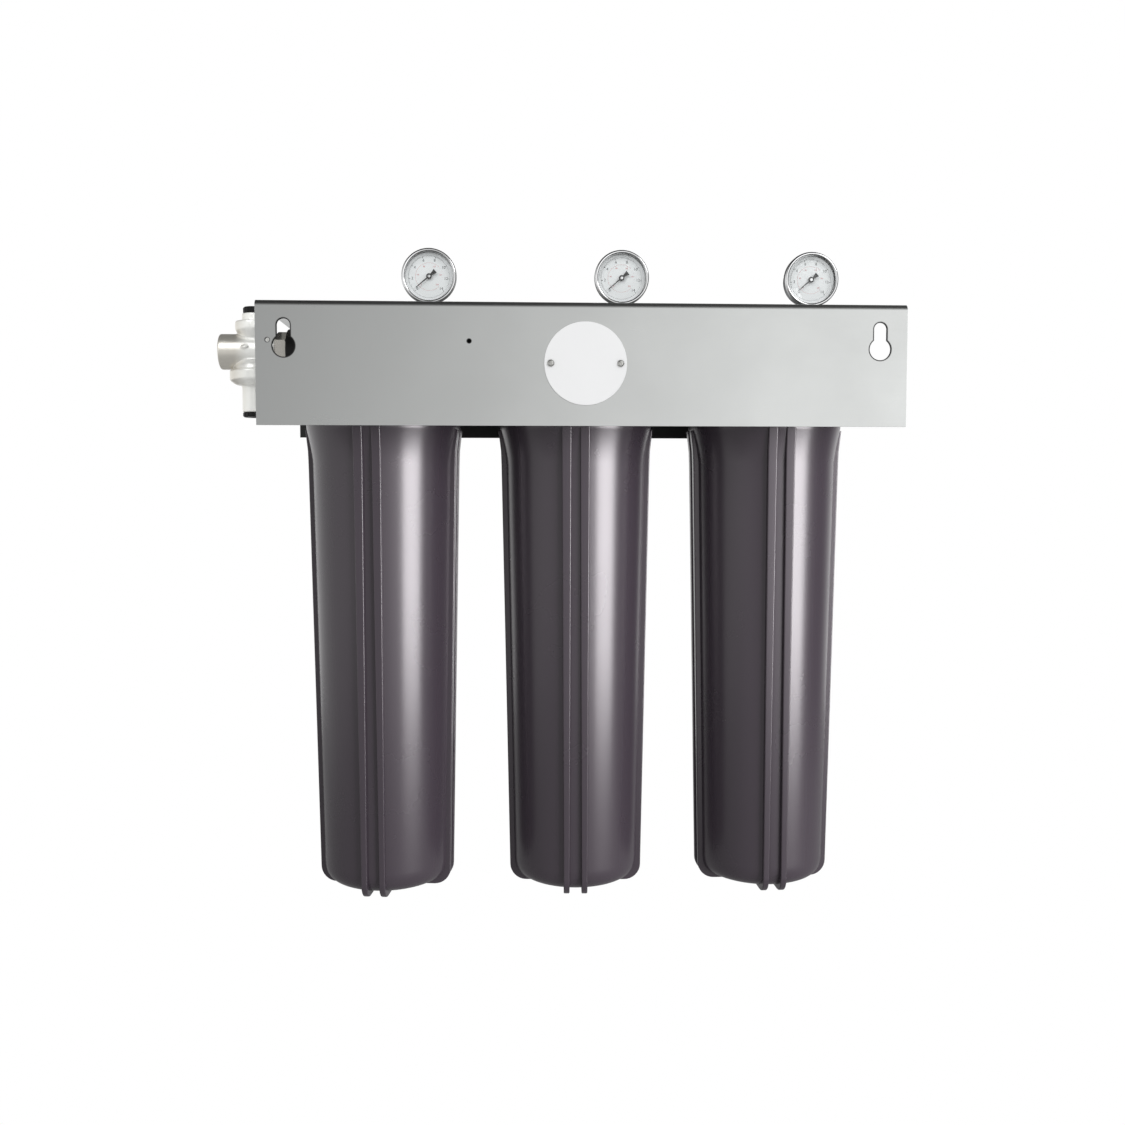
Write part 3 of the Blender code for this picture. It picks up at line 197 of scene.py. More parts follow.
def draw(name, outline, closed=False):
    """Draws an outline in the XZ plane, and leaves it open in edit mode."""
    obj = add(bpy.ops.mesh.primitive_plane_add, name, size=MERGE)
    edit(obj)
    bpy.ops.mesh.merge(type="CENTER")
    places = [Vector((point[0], 0.0, point[1])) for point in outline]
    here = Vector()
    for number, place in enumerate(places):
        step = place - here
        if number:
            extrude(step)
        else:
            bpy.ops.transform.translate(value=step)
        here += step
    if closed:
        pick("verts", lambda v: min((v.co - places[end]).length for end in (0, -1)) < MERGE)
        bpy.ops.mesh.edge_face_add()
    for corner in sorted({point[2] for point in outline if len(point) > 2}):
        rounded = [place for place, point in zip(places, outline) if point[2:] == (corner,)]
        pick("verts", lambda v: min((v.co - place).length for place in rounded) < MERGE)
        bpy.ops.mesh.bevel(offset=corner, segments=CORNER_STEPS, affect="VERTICES")
    return obj


def spin(steps, angle):
    bpy.ops.mesh.spin(steps=steps, angle=angle, center=ORIGIN, axis=(0.0, 0.0, 1.0))


def turned(name, outline, at=ORIGIN, turn=UP, steps=SMALL_STEPS, closed=False):
    """Spins an outline about its own Z axis, then turns and places it."""
    obj = draw(name, outline, closed)
    bpy.ops.mesh.select_all(action="SELECT")
    spin(steps, 2 * pi)
    weld()
    return smooth(put(obj, at, turn))


def rod(name, radius, low, high, at=ORIGIN, turn=UP, steps=SMALL_STEPS, corner=None):
    edge = () if corner is None else (corner,)
    outline = [(0.0, high), (radius, high, *edge), (radius, low, *edge), (0.0, low)]
    return turned(name, outline, at, turn, steps)


def block(name, low, high, edge=0.0):
    """A box between two corners, with bevelled edges."""
    low, high = Vector(low), Vector(high)
    obj = add(bpy.ops.mesh.primitive_cube_add, name, size=1.0, location=(low + high) / 2)
    edit(obj)
    bpy.ops.transform.resize(value=high - low)
    if edge:
        bpy.ops.mesh.bevel(offset=edge, segments=2, affect="EDGES")
    leave()
    return put(obj, obj.location)


def combine(obj, other, operation="DIFFERENCE"):
    use(obj, "BOOLEAN", operation=operation, solver="EXACT", object=other)
    discard(other)


def sector(face):
    """The number of the narrow strip that a face of a turned piece lies in."""
    middle = face.calc_center_median()
    return int(atan2(middle.y, middle.x) % (2 * pi) / (2 * pi) * ROUND_STEPS)


def press_in(obj, depth, radius, slack, test):
    """Sinks the faces at a radius that pass a test, which leaves flutes or a knurl."""
    edit(obj)
    pick("faces", lambda f: abs(f.calc_center_median().xy.length - radius) < slack and test(f))
    bpy.ops.mesh.extrude_region_shrink_fatten(TRANSFORM_OT_shrink_fatten={"value": -depth})
    leave()


print(f"turned pieces have {ROUND_STEPS}, {SMALL_STEPS} or {FEW_STEPS} faces round")

# %% [markdown]
# ## Nodes and links
#
# A shader is a tree of nodes. Writing each node and link out takes many lines, so these helpers add a node
# and set or link its inputs in one call. A value may be a plain number or the output of another node.

# %% Nodes and links
WHITE = (1.0, 1.0, 1.0, 1.0)


def feed(tree, sockets, values):
    """Gives each socket its link or its plain value."""
    for socket, value in zip(sockets, values):
        if isinstance(value, bpy.types.NodeSocket):
            tree.links.new(value, socket)
        else:
            socket.default_value = value


def node(tree, kind, **settings):
    """Adds a shader node; a setting is for one of its inputs, or else for a property."""
    made = tree.nodes.new(f"ShaderNode{kind}")
    for key, value in settings.items():
        if key in made.inputs.keys():
            feed(tree, [made.inputs[key]], [value])
        else:
            setattr(made, key, value)
    return made


def math(tree, operation, *values, clamp=False):
    made = node(tree, "Math", operation=operation, use_clamp=clamp)
    feed(tree, made.inputs, values)
    return made.outputs["Value"]


def mixed(tree, factor, first, second):
    """Mixes two shaders."""
    made = node(tree, "MixShader")
    feed(tree, made.inputs, (factor, first, second))
    return made.outputs[0]


def mix_colour(tree, mask, first, second):
    """Mixes two colours by a mask; each is a link or a plain colour."""
    made = node(tree, "Mix", data_type="RGBA")
    colours = [(*value, 1.0) if isinstance(value, tuple) else value for value in (first, second)]
    feed(tree, (made.inputs[0], made.inputs[6], made.inputs[7]), (mask, *colours))
    return made.outputs[2]


def mix_value(tree, mask, first, second):
    """Goes from one number or link to another as the mask rises."""
    made = node(tree, "Mix")
    feed(tree, (made.inputs[0], made.inputs[2], made.inputs[3]), (mask, first, second))
    return made.outputs[0]


def ease(tree, value, low, high, start, end):
    """A smooth step of a value between two outputs."""
    steps = {"From Min": low, "From Max": high, "To Min": start, "To Max": end}
    return node(tree, "MapRange", interpolation_type="SMOOTHSTEP", Value=value, **steps).outputs["Result"]


def split(tree, vector):
    """The X, Y and Z of a vector."""
    return node(tree, "SeparateXYZ", Vector=vector).outputs


def object_place(tree, stretch=(1.0, 1.0, 1.0)):
    """Object coordinates, stretched along the axes."""
    place = node(tree, "TexCoord").outputs["Object"]
    return node(tree, "Mapping", Vector=place, Scale=stretch).outputs["Vector"]


def noise(tree, place, scale, detail, roughness):
    made = node(tree, "TexNoise", Vector=place, Scale=scale, Detail=detail, Roughness=roughness)
    return made.outputs["Fac"]


# %% [markdown]
# ## Effects that several finishes share
#
# A real surface is never one flat colour. Four node groups give the small differences: a fine grain for
# moulded plastic, straight streaks for brushed metal, soft patches where hands and water have been, and
# dust that settles on faces that look up. They read Object coordinates, so they stay put when a piece
# moves with its joint.

# %% Node groups
def group(name, inputs, output):
    """An empty node group with named numbers as inputs, and one output."""
    made = bpy.data.node_groups.new(name, "ShaderNodeTree")
    for label, value in inputs.items():
        socket = made.interface.new_socket(label, in_out="INPUT", socket_type="NodeSocketFloat")
        socket.default_value = value
    made.interface.new_socket(output, in_out="OUTPUT", socket_type="NodeSocketFloat")
    first = made.nodes.new("NodeGroupInput")
    last = made.nodes.new("NodeGroupOutput")
    return made, first.outputs, last.inputs[output]


def make_grain():
    """Two sizes of noise, as a mould's spark-eroded face leaves on plastic."""
    tree, inputs, height = group("moulded grain", {"Per metre": 2500.0}, "Height")
    place = object_place(tree)
    fine = noise(tree, place, inputs["Per metre"], 3.0, 0.6)
    coarse = noise(tree, place, math(tree, "MULTIPLY", inputs["Per metre"], 0.18), 2.0, 0.5)
    tree.links.new(math(tree, "MULTIPLY", math(tree, "ADD", fine, coarse), 0.5), height)
    return tree


def make_streaks(name, stretch):
    """Noise drawn out along one axis, as a brush or a cutting tool leaves."""
    tree, inputs, streak = group(name, {"Per metre": 900.0}, "Streak")
    tree.links.new(noise(tree, object_place(tree, stretch), inputs["Per metre"], 4.0, 0.7), streak)
    return tree


def make_patches():
    """Soft patches, from 0 to 1, where a surface has been touched or has dried."""
    tree, inputs, mask = group("handled patches", {"Per metre": 14.0, "Contrast": 2.0}, "Mask")
    centred = math(tree, "SUBTRACT", noise(tree, object_place(tree), inputs["Per metre"], 5.0, 0.55), 0.5)
    spread = math(tree, "MULTIPLY", centred, inputs["Contrast"])
    tree.links.new(math(tree, "ADD", spread, 0.5, clamp=True), mask)
    return tree


def make_dust():
    """Dust on the faces that look up, broken by noise."""
    tree, inputs, mask = group("settled dust", {"Amount": 0.2}, "Mask")
    facing = split(tree, node(tree, "NewGeometry").outputs["Normal"])
    upward = math(tree, "MULTIPLY", math(tree, "MAXIMUM", facing["Z"], 0.0), inputs["Amount"])
    broken = noise(tree, object_place(tree), 60.0, 6.0, 0.65)
    tree.links.new(math(tree, "MULTIPLY", upward, broken, clamp=True), mask)
    return tree


GRAIN = make_grain()
ALONG_SHEET = make_streaks("brushed along the sheet", (0.02, 1.0, 1.0))
ROUND_TURNED = make_streaks("turned marks", (0.15, 0.15, 1.0))
PATCHES = make_patches()
DUST = make_dust()
print(f"{len(bpy.data.node_groups)} node groups")

# %% [markdown]
# ## One recipe for every finish
#
# Each material is a Principled shader. Its colour is varied a little by the patches and the dust, its
# roughness by the patches and the streaks, and its bump comes from the grain or the streaks. A zone is a
# part of the piece with its own colour, roughness and metallic: a real finish on the valve, and painted shade
# inside the bracket. Values that don't change over the surface are set on the shader's own sockets.

# %% The recipe
DUST_COLOUR = (0.42, 0.41, 0.38)
FINISHES = {}


def effect(tree, shared, output, **values):
    """Places one of the shared effects in a material."""
    return node(tree, "Group", node_tree=shared, **values).outputs[output]


def finish(slot, colour, roughness, metallic=0.0, grain=None, streaks=None, bump=0.1, depth=0.00005,
           patch=0.06, tint=0.05, dust=0.0, zone=None, zone_finish_and_shade=None, **sockets):
    """Builds a material for one slot, with its own strength of each effect."""
    made = bpy.data.materials.new(slot)
    made.use_nodes = True
    tree = made.node_tree
    shader = tree.nodes["Principled BSDF"].inputs
    shader["Metallic"].default_value = metallic
    for key, value in sockets.items():
        shader[key.replace("_", " ")].default_value = value
    patches = effect(tree, PATCHES, "Mask")
    coloured = mix_colour(tree, patches, colour, tuple(value * (1.0 - tint) for value in colour))
    if dust:
        coloured = mix_colour(tree, effect(tree, DUST, "Mask", Amount=dust), coloured, DUST_COLOUR)
    rough = math(tree, "MULTIPLY_ADD", patches, patch, roughness - patch / 2)
    height = None
    if streaks:
        height = effect(tree, streaks, "Streak")
        rough = math(tree, "ADD", rough, math(tree, "MULTIPLY", height, patch), clamp=True)
    if grain:
        height = effect(tree, GRAIN, "Height", **{"Per metre": grain})
    if zone:
        mask = zone(tree)
        other_colour, other_roughness, other_metallic = zone_finish_and_shade
        coloured = mix_colour(tree, mask, coloured, other_colour)
        rough = mix_value(tree, mask, rough, other_roughness)
        tree.links.new(mix_value(tree, mask, metallic, other_metallic), shader["Metallic"])
    tree.links.new(coloured, shader["Base Color"])
    tree.links.new(rough, shader["Roughness"])
    if height:
        raised = node(tree, "Bump", Strength=bump, Distance=depth, Height=height)
        tree.links.new(raised.outputs["Normal"], shader["Normal"])
    FINISHES[slot] = made


def dress(obj, body, slot, *nodes):
    """Gives a piece its material and its body, and hides the nodes that it stands for."""
    obj.data.materials.clear()
    obj.data.materials.append(FINISHES[slot])
    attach(obj, body)
    if nodes:
        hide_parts(*nodes)
    obj.data.calc_loop_triangles()
    print(f"{obj.name}: {len(obj.data.loop_triangles)} triangles on {body}")


# %% [markdown]
# ## The finishes of this filter
#
# Fourteen finishes, one for each slot. Two of them have a zone. The bracket is brushed on its outside, and
# its inner faces and cut edges are painted dark: painted shade, for the shade inside the channel. The
# valve's cast body is satin, but its inlet end is machined bright.

# %% The finishes
SHADE_MARGIN = 0.0001
SHADE_BEND_GAP = 0.0130
MACHINED_END = 0.0300
MACHINED_BLEND = 0.0130


def between(tree, axis, low, high, soft):
    """1 where an object coordinate lies between two values, 0 elsewhere."""
    value = split(tree, object_place(tree))[axis]
    rising = math(tree, "DIVIDE", math(tree, "SUBTRACT", value, low), soft, clamp=True)
    falling = math(tree, "DIVIDE", math(tree, "SUBTRACT", high, value), soft, clamp=True)
    return math(tree, "MULTIPLY", rising, falling)


def inside_channel(tree):
    """Where shade is painted: the cut edges and the faces inside the folded bracket."""
    low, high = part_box("bracket")
    depth = between(tree, "Y", low.y + SHADE_MARGIN, high.y - SHADE_MARGIN, 2 * SHADE_MARGIN)
    return math(tree, "MULTIPLY", depth, between(tree, "Z", low.z - 0.01, high.z - SHADE_BEND_GAP, 0.0004))


def inlet_end(tree):
    """The machined end of the valve's barrel, on the inlet side."""
    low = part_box("valve_body")[0]
    return between(tree, "X", low.x - 0.02, low.x + MACHINED_END, MACHINED_BLEND)


# The bracket's dark zone is painted shade: its inner faces and cut edges are coloured dark where shade falls.
finish("brushed_stainless", (0.598, 0.610, 0.602), 0.27, 1.0, streaks=ALONG_SHEET, bump=0.12, patch=0.05,
       tint=0.03, zone=inside_channel, zone_finish_and_shade=((0.055, 0.055, 0.055), 0.55, 0.6))
finish("anthracite_plastic", (0.030, 0.0235, 0.0305), 0.27, grain=1800.0, bump=0.006, patch=0.02, dust=0.03,
       Specular_IOR_Level=0.68, Specular_Tint=(1.0, 0.96, 0.99, 1.0))
finish("black_plastic", (0.006, 0.006, 0.0065), 0.42, grain=2200.0, bump=0.15, patch=0.10, dust=0.04,
       Specular_IOR_Level=0.35)
finish("black_rubber", (0.010, 0.010, 0.010), 0.68, grain=3200.0, bump=0.3, patch=0.15)
finish("filter_medium", (0.84, 0.84, 0.80), 0.92, grain=700.0, bump=0.8, depth=0.0006, patch=0.05, tint=0.12)
finish("red_plastic", (0.55, 0.02, 0.02), 0.32, grain=2600.0, bump=0.1, patch=0.10, dust=0.15)
finish("spring_steel", (0.50, 0.50, 0.51), 0.28, 1.0, streaks=ROUND_TURNED, bump=0.2, patch=0.1)
# The chrome's edge tint is near black, so it darkens at grazing angles: painted shade for the dark outline of
# bezels and cups.
finish("chrome", (0.86, 0.865, 0.87), 0.05, 1.0, streaks=ROUND_TURNED, bump=0.01, patch=0.04, tint=0.02,
       Specular_Tint=(0.06, 0.06, 0.06, 1.0))
finish("clear_window", (0.98, 0.99, 0.99), 0.02, grain=300.0, bump=0.01, patch=0.02, tint=0.01,
       Transmission_Weight=1.0, IOR=1.45)
finish("white_plate", (0.93, 0.935, 0.94), 0.34, grain=900.0, bump=0.05, patch=0.08, tint=0.02)
finish("zinc_plated_steel", (0.62, 0.62, 0.60), 0.30, 1.0, streaks=ROUND_TURNED, bump=0.15, patch=0.16,
       tint=0.12)
finish("brushed_nickel", (0.66, 0.64, 0.59), 0.16, 1.0, streaks=ROUND_TURNED, bump=0.08, patch=0.06,
       tint=0.08)
finish("plated_casting", (0.96, 0.965, 0.93), 0.30, 0.30, grain=1100.0, bump=0.30, depth=0.0002, patch=0.10,
       tint=0.03, zone=inlet_end, zone_finish_and_shade=((0.82, 0.79, 0.72), 0.34, 0.80), Specular_IOR_Level=0.6)
finish("brass", (0.70, 0.52, 0.24), 0.28, 1.0, streaks=ROUND_TURNED, bump=0.15, patch=0.14, tint=0.14)
print(f"{len(FINISHES)} finishes")

# %% [markdown]
# ## Windows that let light through
#
# Glass throws a dark shadow in a render without caustics, and the dial behind it would turn grey. The real
# window is thin and clear. So it is glass to the eye, but for shadows and soft light it is a plain
# transparent sheet.

# %% Clear windows
tree = FINISHES["clear_window"].node_tree
paths = node(tree, "LightPath").outputs
glass = tree.nodes["Principled BSDF"].outputs[0]
clear = node(tree, "BsdfTransparent", Color=(0.96, 0.97, 0.97, 1.0)).outputs[0]
soft = mixed(tree, paths["Is Diffuse Ray"], glass, clear)
surface = mixed(tree, paths["Is Shadow Ray"], soft, clear)
tree.links.new(surface, tree.nodes["Material Output"].inputs["Surface"])
print(f"{len(tree.nodes)} nodes in the window's finish")

# %% [markdown]
# ## Camera
#
# The photograph was taken with a longish lens, a little left of the middle, from below the bracket and
# looking slightly up. These values were fitted to the corners of the bracket and the feet of the sumps.

# %% The camera at the photograph's place
CAMERA_AT = (-0.07527, -1.31418, -0.16029)
CAMERA_TURN = (radians(86.669), 0.0, radians(-2.813))
bpy.ops.object.select_all(action="DESELECT")
bpy.ops.object.camera_add(location=CAMERA_AT, rotation=CAMERA_TURN)
camera = bpy.context.object
camera.data.lens = 36.311
camera.data.sensor_width = 36.0
bpy.context.scene.camera = camera
print(f"camera at {CAMERA_AT}")

# %% [markdown]
# ## The room
#
# A white studio: the camera sees a white background, and matt surfaces get an even light. Metal and glass
# mirror the room, so what they see is shaped. In front it goes from grey, left of the middle, to bright on
# the right, which gives the steel its slow change from grey to pale. It fades towards the ceiling, and
# behind the filter only a band at the height of the eye stays light.

# %% The room that shiny pieces mirror
FRONT_TONES = (
    (-1.0, 0.85), (-0.8, 0.90), (-0.55, 0.75), (-0.35, 0.48), (-0.21, 0.44), (-0.095, 0.70), (-0.02, 0.83),
    (0.14, 1.13), (0.30, 1.52), (0.42, 1.60), (0.66, 0.90), (0.82, 0.30), (1.0, 0.05),
)
BRIGHTEST = 1.6
AMBIENT = 0.85


def background(tree, strength):
    return node(tree, "Background", Color=WHITE, Strength=strength).outputs[0]


def ray_masks(tree):
    """Masks for what the camera sees, and for what metal and glass see."""
    paths = node(tree, "LightPath").outputs
    shiny = math(tree, "MAXIMUM", paths["Is Glossy Ray"], paths["Is Transmission Ray"])
    return paths["Is Camera Ray"], shiny


world = bpy.data.worlds.new("studio")
world.use_nodes = True
bpy.context.scene.world = world
tree = world.node_tree
tree.nodes.clear()
way = split(tree, node(tree, "TexCoord").outputs["Generated"])
ramp = node(tree, "ValToRGB", Fac=math(tree, "MULTIPLY", math(tree, "ADD", way["X"], 1.0), 0.5))
tones = ramp.color_ramp.elements
while len(tones) < len(FRONT_TONES):
    tones.new(0.5)
for tone, (x, value) in zip(tones, FRONT_TONES):
    tone.position = (x + 1) / 2
    tone.color = (value / BRIGHTEST,) * 3 + (1.0,)
front = math(tree, "MULTIPLY", ramp.outputs["Color"], BRIGHTEST)
front = math(tree, "MULTIPLY", front, ease(tree, way["Z"], 0.05, 0.85, 1.0, 0.04))
back = ease(tree, math(tree, "ABSOLUTE", way["Z"]), 0.12, 0.50, 1.0, 0.07)
behind = ease(tree, way["Y"], 0.30, 0.85, 0.0, 1.0)
front = math(tree, "MULTIPLY", front, math(tree, "SUBTRACT", 1.0, behind))
mirrored = math(tree, "ADD", front, math(tree, "MULTIPLY", back, behind))
seen, shiny = ray_masks(tree)
lit = mixed(tree, shiny, background(tree, AMBIENT), background(tree, mirrored))
node(tree, "OutputWorld", Surface=mixed(tree, seen, lit, background(tree, 1.0)))
print(f"{len(tones)} tones from left to right")

# %% [markdown]
# ## Lamps and floor
#
# Three lamps. A tall softbox at the right front lights the sumps only, and draws the bright line down each
# one. A weak key lamp lights all pieces but the bracket. A small lamp at the left front lights the cast
# valve, its nipple and the dials. Which pieces a lamp lights is set with light linking, as a photographer
# does with flags. The pale floor lies far below.

# %% Lamps and floor
MIDDLE = (0.0, -0.115, 0.0)
SOFTBOX_TURN = radians(47)
SOFTBOX_DISTANCE = 3.0
SOFTBOX_X = sin(SOFTBOX_TURN) * SOFTBOX_DISTANCE
SOFTBOX_Y = MIDDLE[1] - cos(SOFTBOX_TURN) * SOFTBOX_DISTANCE
FLOOR_Z = -1.35
FLOOR_IN_MIRRORS = 0.35


def lamp(name, place, size, power, turn=None):
    """An area light that faces the middle of the filter, or straight across where a turn is given."""
    bpy.ops.object.select_all(action="DESELECT")
    bpy.ops.object.light_add(type="AREA", location=place)
    made = bpy.context.object
    made.name = name
    made.data.shape = "RECTANGLE"
    made.data.size, made.data.size_y = size
    made.data.energy = power
    if turn is None:
        made.rotation_euler = (Vector(place) - Vector(MIDDLE)).to_track_quat("Z", "Y").to_euler()
    else:
        made.rotation_euler = (pi / 2, 0.0, turn)
    return made


def shine_on(light, objects, state="INCLUDE"):
    """Keeps a lamp on, or off, some pieces."""
    flagged = bpy.data.collections.new(f"{light.name} {state.lower()}")
    for obj in objects:
        flagged.objects.link(obj)
    for linked in flagged.collection_objects:
        linked.light_linking.link_state = state
    light.light_linking.receiver_collection = flagged


softbox = lamp("softbox", (SOFTBOX_X, SOFTBOX_Y, 0.0), (1.65, 2.0), 150.0, SOFTBOX_TURN)
key = lamp("key", (1.6, -1.9, 1.3), (1.0, 1.0), 14.0)
small_lamp = lamp("small_lamp", (-0.70, -1.45, 0.95), (0.9, 0.9), 7.0)

floor = add(bpy.ops.mesh.primitive_plane_add, "floor", size=8.0, location=(0.0, 0.0, FLOOR_Z))
pale = bpy.data.materials.new("pale_floor")
pale.use_nodes = True
tree = pale.node_tree
tree.nodes.clear()
matt = node(tree, "BsdfDiffuse", Color=(0.8, 0.8, 0.8, 1.0)).outputs[0]
white = node(tree, "Emission", Color=WHITE, Strength=1.0).outputs[0]
dim = node(tree, "Emission", Color=WHITE, Strength=FLOOR_IN_MIRRORS).outputs[0]
seen, shiny = ray_masks(tree)
node(tree, "OutputMaterial", Surface=mixed(tree, seen, mixed(tree, shiny, matt, dim), white))
floor.data.materials.append(pale)
floor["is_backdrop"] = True
bpy.context.scene.view_settings.view_transform = "Standard"
print(f"floor at {FLOOR_Z}")

# %% [markdown]
# ## Sizes of the frame
#
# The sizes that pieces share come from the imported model's own boxes, so that each new piece lies where
# its node lies.

# %% Read the boxes
GAP = 0.0003
bracket_low, bracket_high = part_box("bracket")
head_low, head_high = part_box("head_middle")
gauge_low, gauge_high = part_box("gauge_bezel_middle")
nipple_low, nipple_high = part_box("link_nipple_left")
foot_z, rim_z = [v.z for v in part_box("sump_middle")]
house_x = {side: sum(v.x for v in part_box(f"cartridge_{side}")) / 2 for side in SIDES}
axis_y = sum(v.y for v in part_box("cartridge_middle")) / 2
front_y = bracket_low.y
flange_top = bracket_high.z
head_top = head_high.z
skirt_z = head_low.z
head_radius = (head_high.y - head_low.y) / 2
port_reach = (head_high.x - head_low.x) / 2
port_z = (nipple_low.z + nipple_high.z) / 2
bezel_radius = (gauge_high.z - gauge_low.z) / 2
gauge_z = (gauge_low.z + gauge_high.z) / 2
gauge_face_y = gauge_low.y
gauge_offset = (gauge_low.x + gauge_high.x) / 2 - house_x["middle"]
print(f"housings at {[round(x, 4) for x in house_x.values()]}, port axis at {port_z:.4f}")

# %% [markdown]
# ## Bracket
#
# One stainless sheet, folded into an inverted channel. It could be a box with its inside cut out, but it is
# made as it would be folded: a flat top, two walls pulled down from its long edges, two soft bends, then the
# thickness of the sheet.

# %% Fold the sheet
SHEET = 0.0020
BEND = 0.0058
BEND_STEPS = 8
size = bracket_high - bracket_low
folds = (front_y, bracket_high.y)


def along_fold(edge, y):
    """Whether an edge of the sheet lies on a long side of the top."""
    return all(abs(v.co.y - y) < MERGE and abs(v.co.z - flange_top) < MERGE for v in edge.verts)


bracket = add(bpy.ops.mesh.primitive_plane_add, "folded_bracket", size=1.0,
              location=(0.0, (front_y + bracket_high.y) / 2, flange_top))
edit(bracket)
bpy.ops.transform.resize(value=(size.x, size.y, 1.0))
leave()
put(bracket, bracket.location)
edit(bracket)
for y in folds:
    pick("edges", lambda e: along_fold(e, y))
    extrude((0.0, 0.0, -size.z))
pick("edges", lambda e: any(along_fold(e, y) for y in folds))
bpy.ops.mesh.bevel(offset=BEND, segments=BEND_STEPS, affect="EDGES")
weld()
use(bracket, "SOLIDIFY", thickness=SHEET, offset=-1.0, use_even_offset=True)
print(f"folded sheet with {len(bracket.data.polygons)} faces")

# %% [markdown]
# ## Holes in the bracket
#
# The bracket hangs by two keyholes in its back, and its front has the same two. Other holes take the plate's
# screws, the gauges' stems, the relief buttons and the screws of the heads. Each is cut by a punch with the
# Boolean modifier, and a small bevel then takes the sharpness off every edge.

# %% Punch the holes
SHEET_EDGE = 0.0006
SHEET_EDGE_ANGLE = radians(50)
PUNCH_REACH = 0.006
KEYHOLE_X = 0.2837
KEYHOLE_ARC_Z = flange_top - 0.0238
KEYHOLE_RISE = 0.0192
KEYHOLE_SLOT_RADIUS = 0.0062
KEYHOLE_ROUND_RADIUS = 0.0103
SMALL_HOLES = (-0.2987, -0.1103)
SMALL_HOLE_Z = flange_top - 0.0376
SMALL_HOLE_RADIUS = 0.0020
LABEL_Z = flange_top - 0.0581
LABEL_SCREW_X = 0.0332
LABEL_HOLE_RADIUS = 0.0022
GAUGE_HOLE_RADIUS = 0.0108
BUTTON_HOLE_RADIUS = 0.0085
SCREW_HOLE_RADIUS = 0.0033
HEAD_SCREWS = [(sx * 0.0320, sy * 0.0340) for sx in (-1, 1) for sy in (-1, 1)]


def punch(obj, radius, at, turn, steps=SMALL_STEPS):
    combine(obj, rod("punch", radius, -PUNCH_REACH, PUNCH_REACH, at, turn, steps))


def keyhole_slot(at):
    """A circle whose lower half is pulled down, thick enough to go through the sheet."""
    slot = add(bpy.ops.mesh.primitive_circle_add, "keyhole_slot", vertices=SMALL_STEPS,
               radius=KEYHOLE_SLOT_RADIUS)
    edit(slot)
    pick("verts", lambda v: v.co.y < -MERGE)
    bpy.ops.transform.translate(value=(0.0, -KEYHOLE_RISE, 0.0))
    bpy.ops.mesh.select_all(action="SELECT")
    bpy.ops.transform.translate(value=(0.0, 0.0, -3 * SHEET))
    bpy.ops.mesh.edge_face_add()
    extrude((0.0, 0.0, 6 * SHEET))
    weld()
    return put(slot, at, TO_FRONT)


for sign in (-1, 1):
    for wall_y in (front_y, bracket_high.y - SHEET):
        combine(bracket, keyhole_slot((sign * KEYHOLE_X, wall_y, KEYHOLE_ARC_Z)))
        low_end = (sign * KEYHOLE_X, wall_y, KEYHOLE_ARC_Z - KEYHOLE_RISE)
        punch(bracket, KEYHOLE_ROUND_RADIUS, low_end, TO_FRONT)
for x in SMALL_HOLES:
    punch(bracket, SMALL_HOLE_RADIUS, (x, front_y, SMALL_HOLE_Z), TO_FRONT, FEW_STEPS)
for sign in (-1, 1):
    punch(bracket, LABEL_HOLE_RADIUS, (sign * LABEL_SCREW_X, front_y, LABEL_Z), TO_FRONT, FEW_STEPS)
for x in house_x.values():
    punch(bracket, GAUGE_HOLE_RADIUS, (x + gauge_offset, axis_y, flange_top), UP)
    punch(bracket, BUTTON_HOLE_RADIUS, (x - gauge_offset, axis_y, flange_top), UP)
    for sx, sy in HEAD_SCREWS:
        punch(bracket, SCREW_HOLE_RADIUS, (x + sx, axis_y + sy, flange_top), UP, FEW_STEPS)
use(bracket, "BEVEL", width=SHEET_EDGE, segments=3, limit_method="ANGLE", angle_limit=SHEET_EDGE_ANGLE,
    use_clamp_overlap=True)
smooth(bracket)
use(bracket, "WEIGHTED_NORMAL", keep_sharp=True, weight=100)
dress(bracket, "root", "brushed_stainless", "bracket")
shine_on(key, [bracket], "EXCLUDE")

# %% [markdown]
# ## Painted shade at the rims of the holes
#
# A thin dark rim is painted round each hole: painted shade, for the cut wall of the sheet that lies in shade.
# It could be drawn in an image, but here its mask is worked out: the distance from each hole's edge, with a
# keyhole taken as a slot and a circle. The shader then goes to a dark colour where that distance is small.

# %% Dark rims of painted shade
HOLE_SHADE_WIDTH = 0.0015
HOLE_SHADE_FULL = 0.0005
HOLE_SHADE_COLOUR = (0.045, 0.045, 0.045)


def from_hole(tree, x, z, radius, half_run=0.0):
    """The distance from a hole's edge; half_run is half of a slot's straight run."""
    upwards = math(tree, "MAXIMUM", math(tree, "SUBTRACT", math(tree, "ABSOLUTE", z), half_run), 0.0)
    squares = [math(tree, "MULTIPLY", value, value) for value in (x, upwards)]
    return math(tree, "SUBTRACT", math(tree, "SQRT", math(tree, "ADD", *squares)), radius)


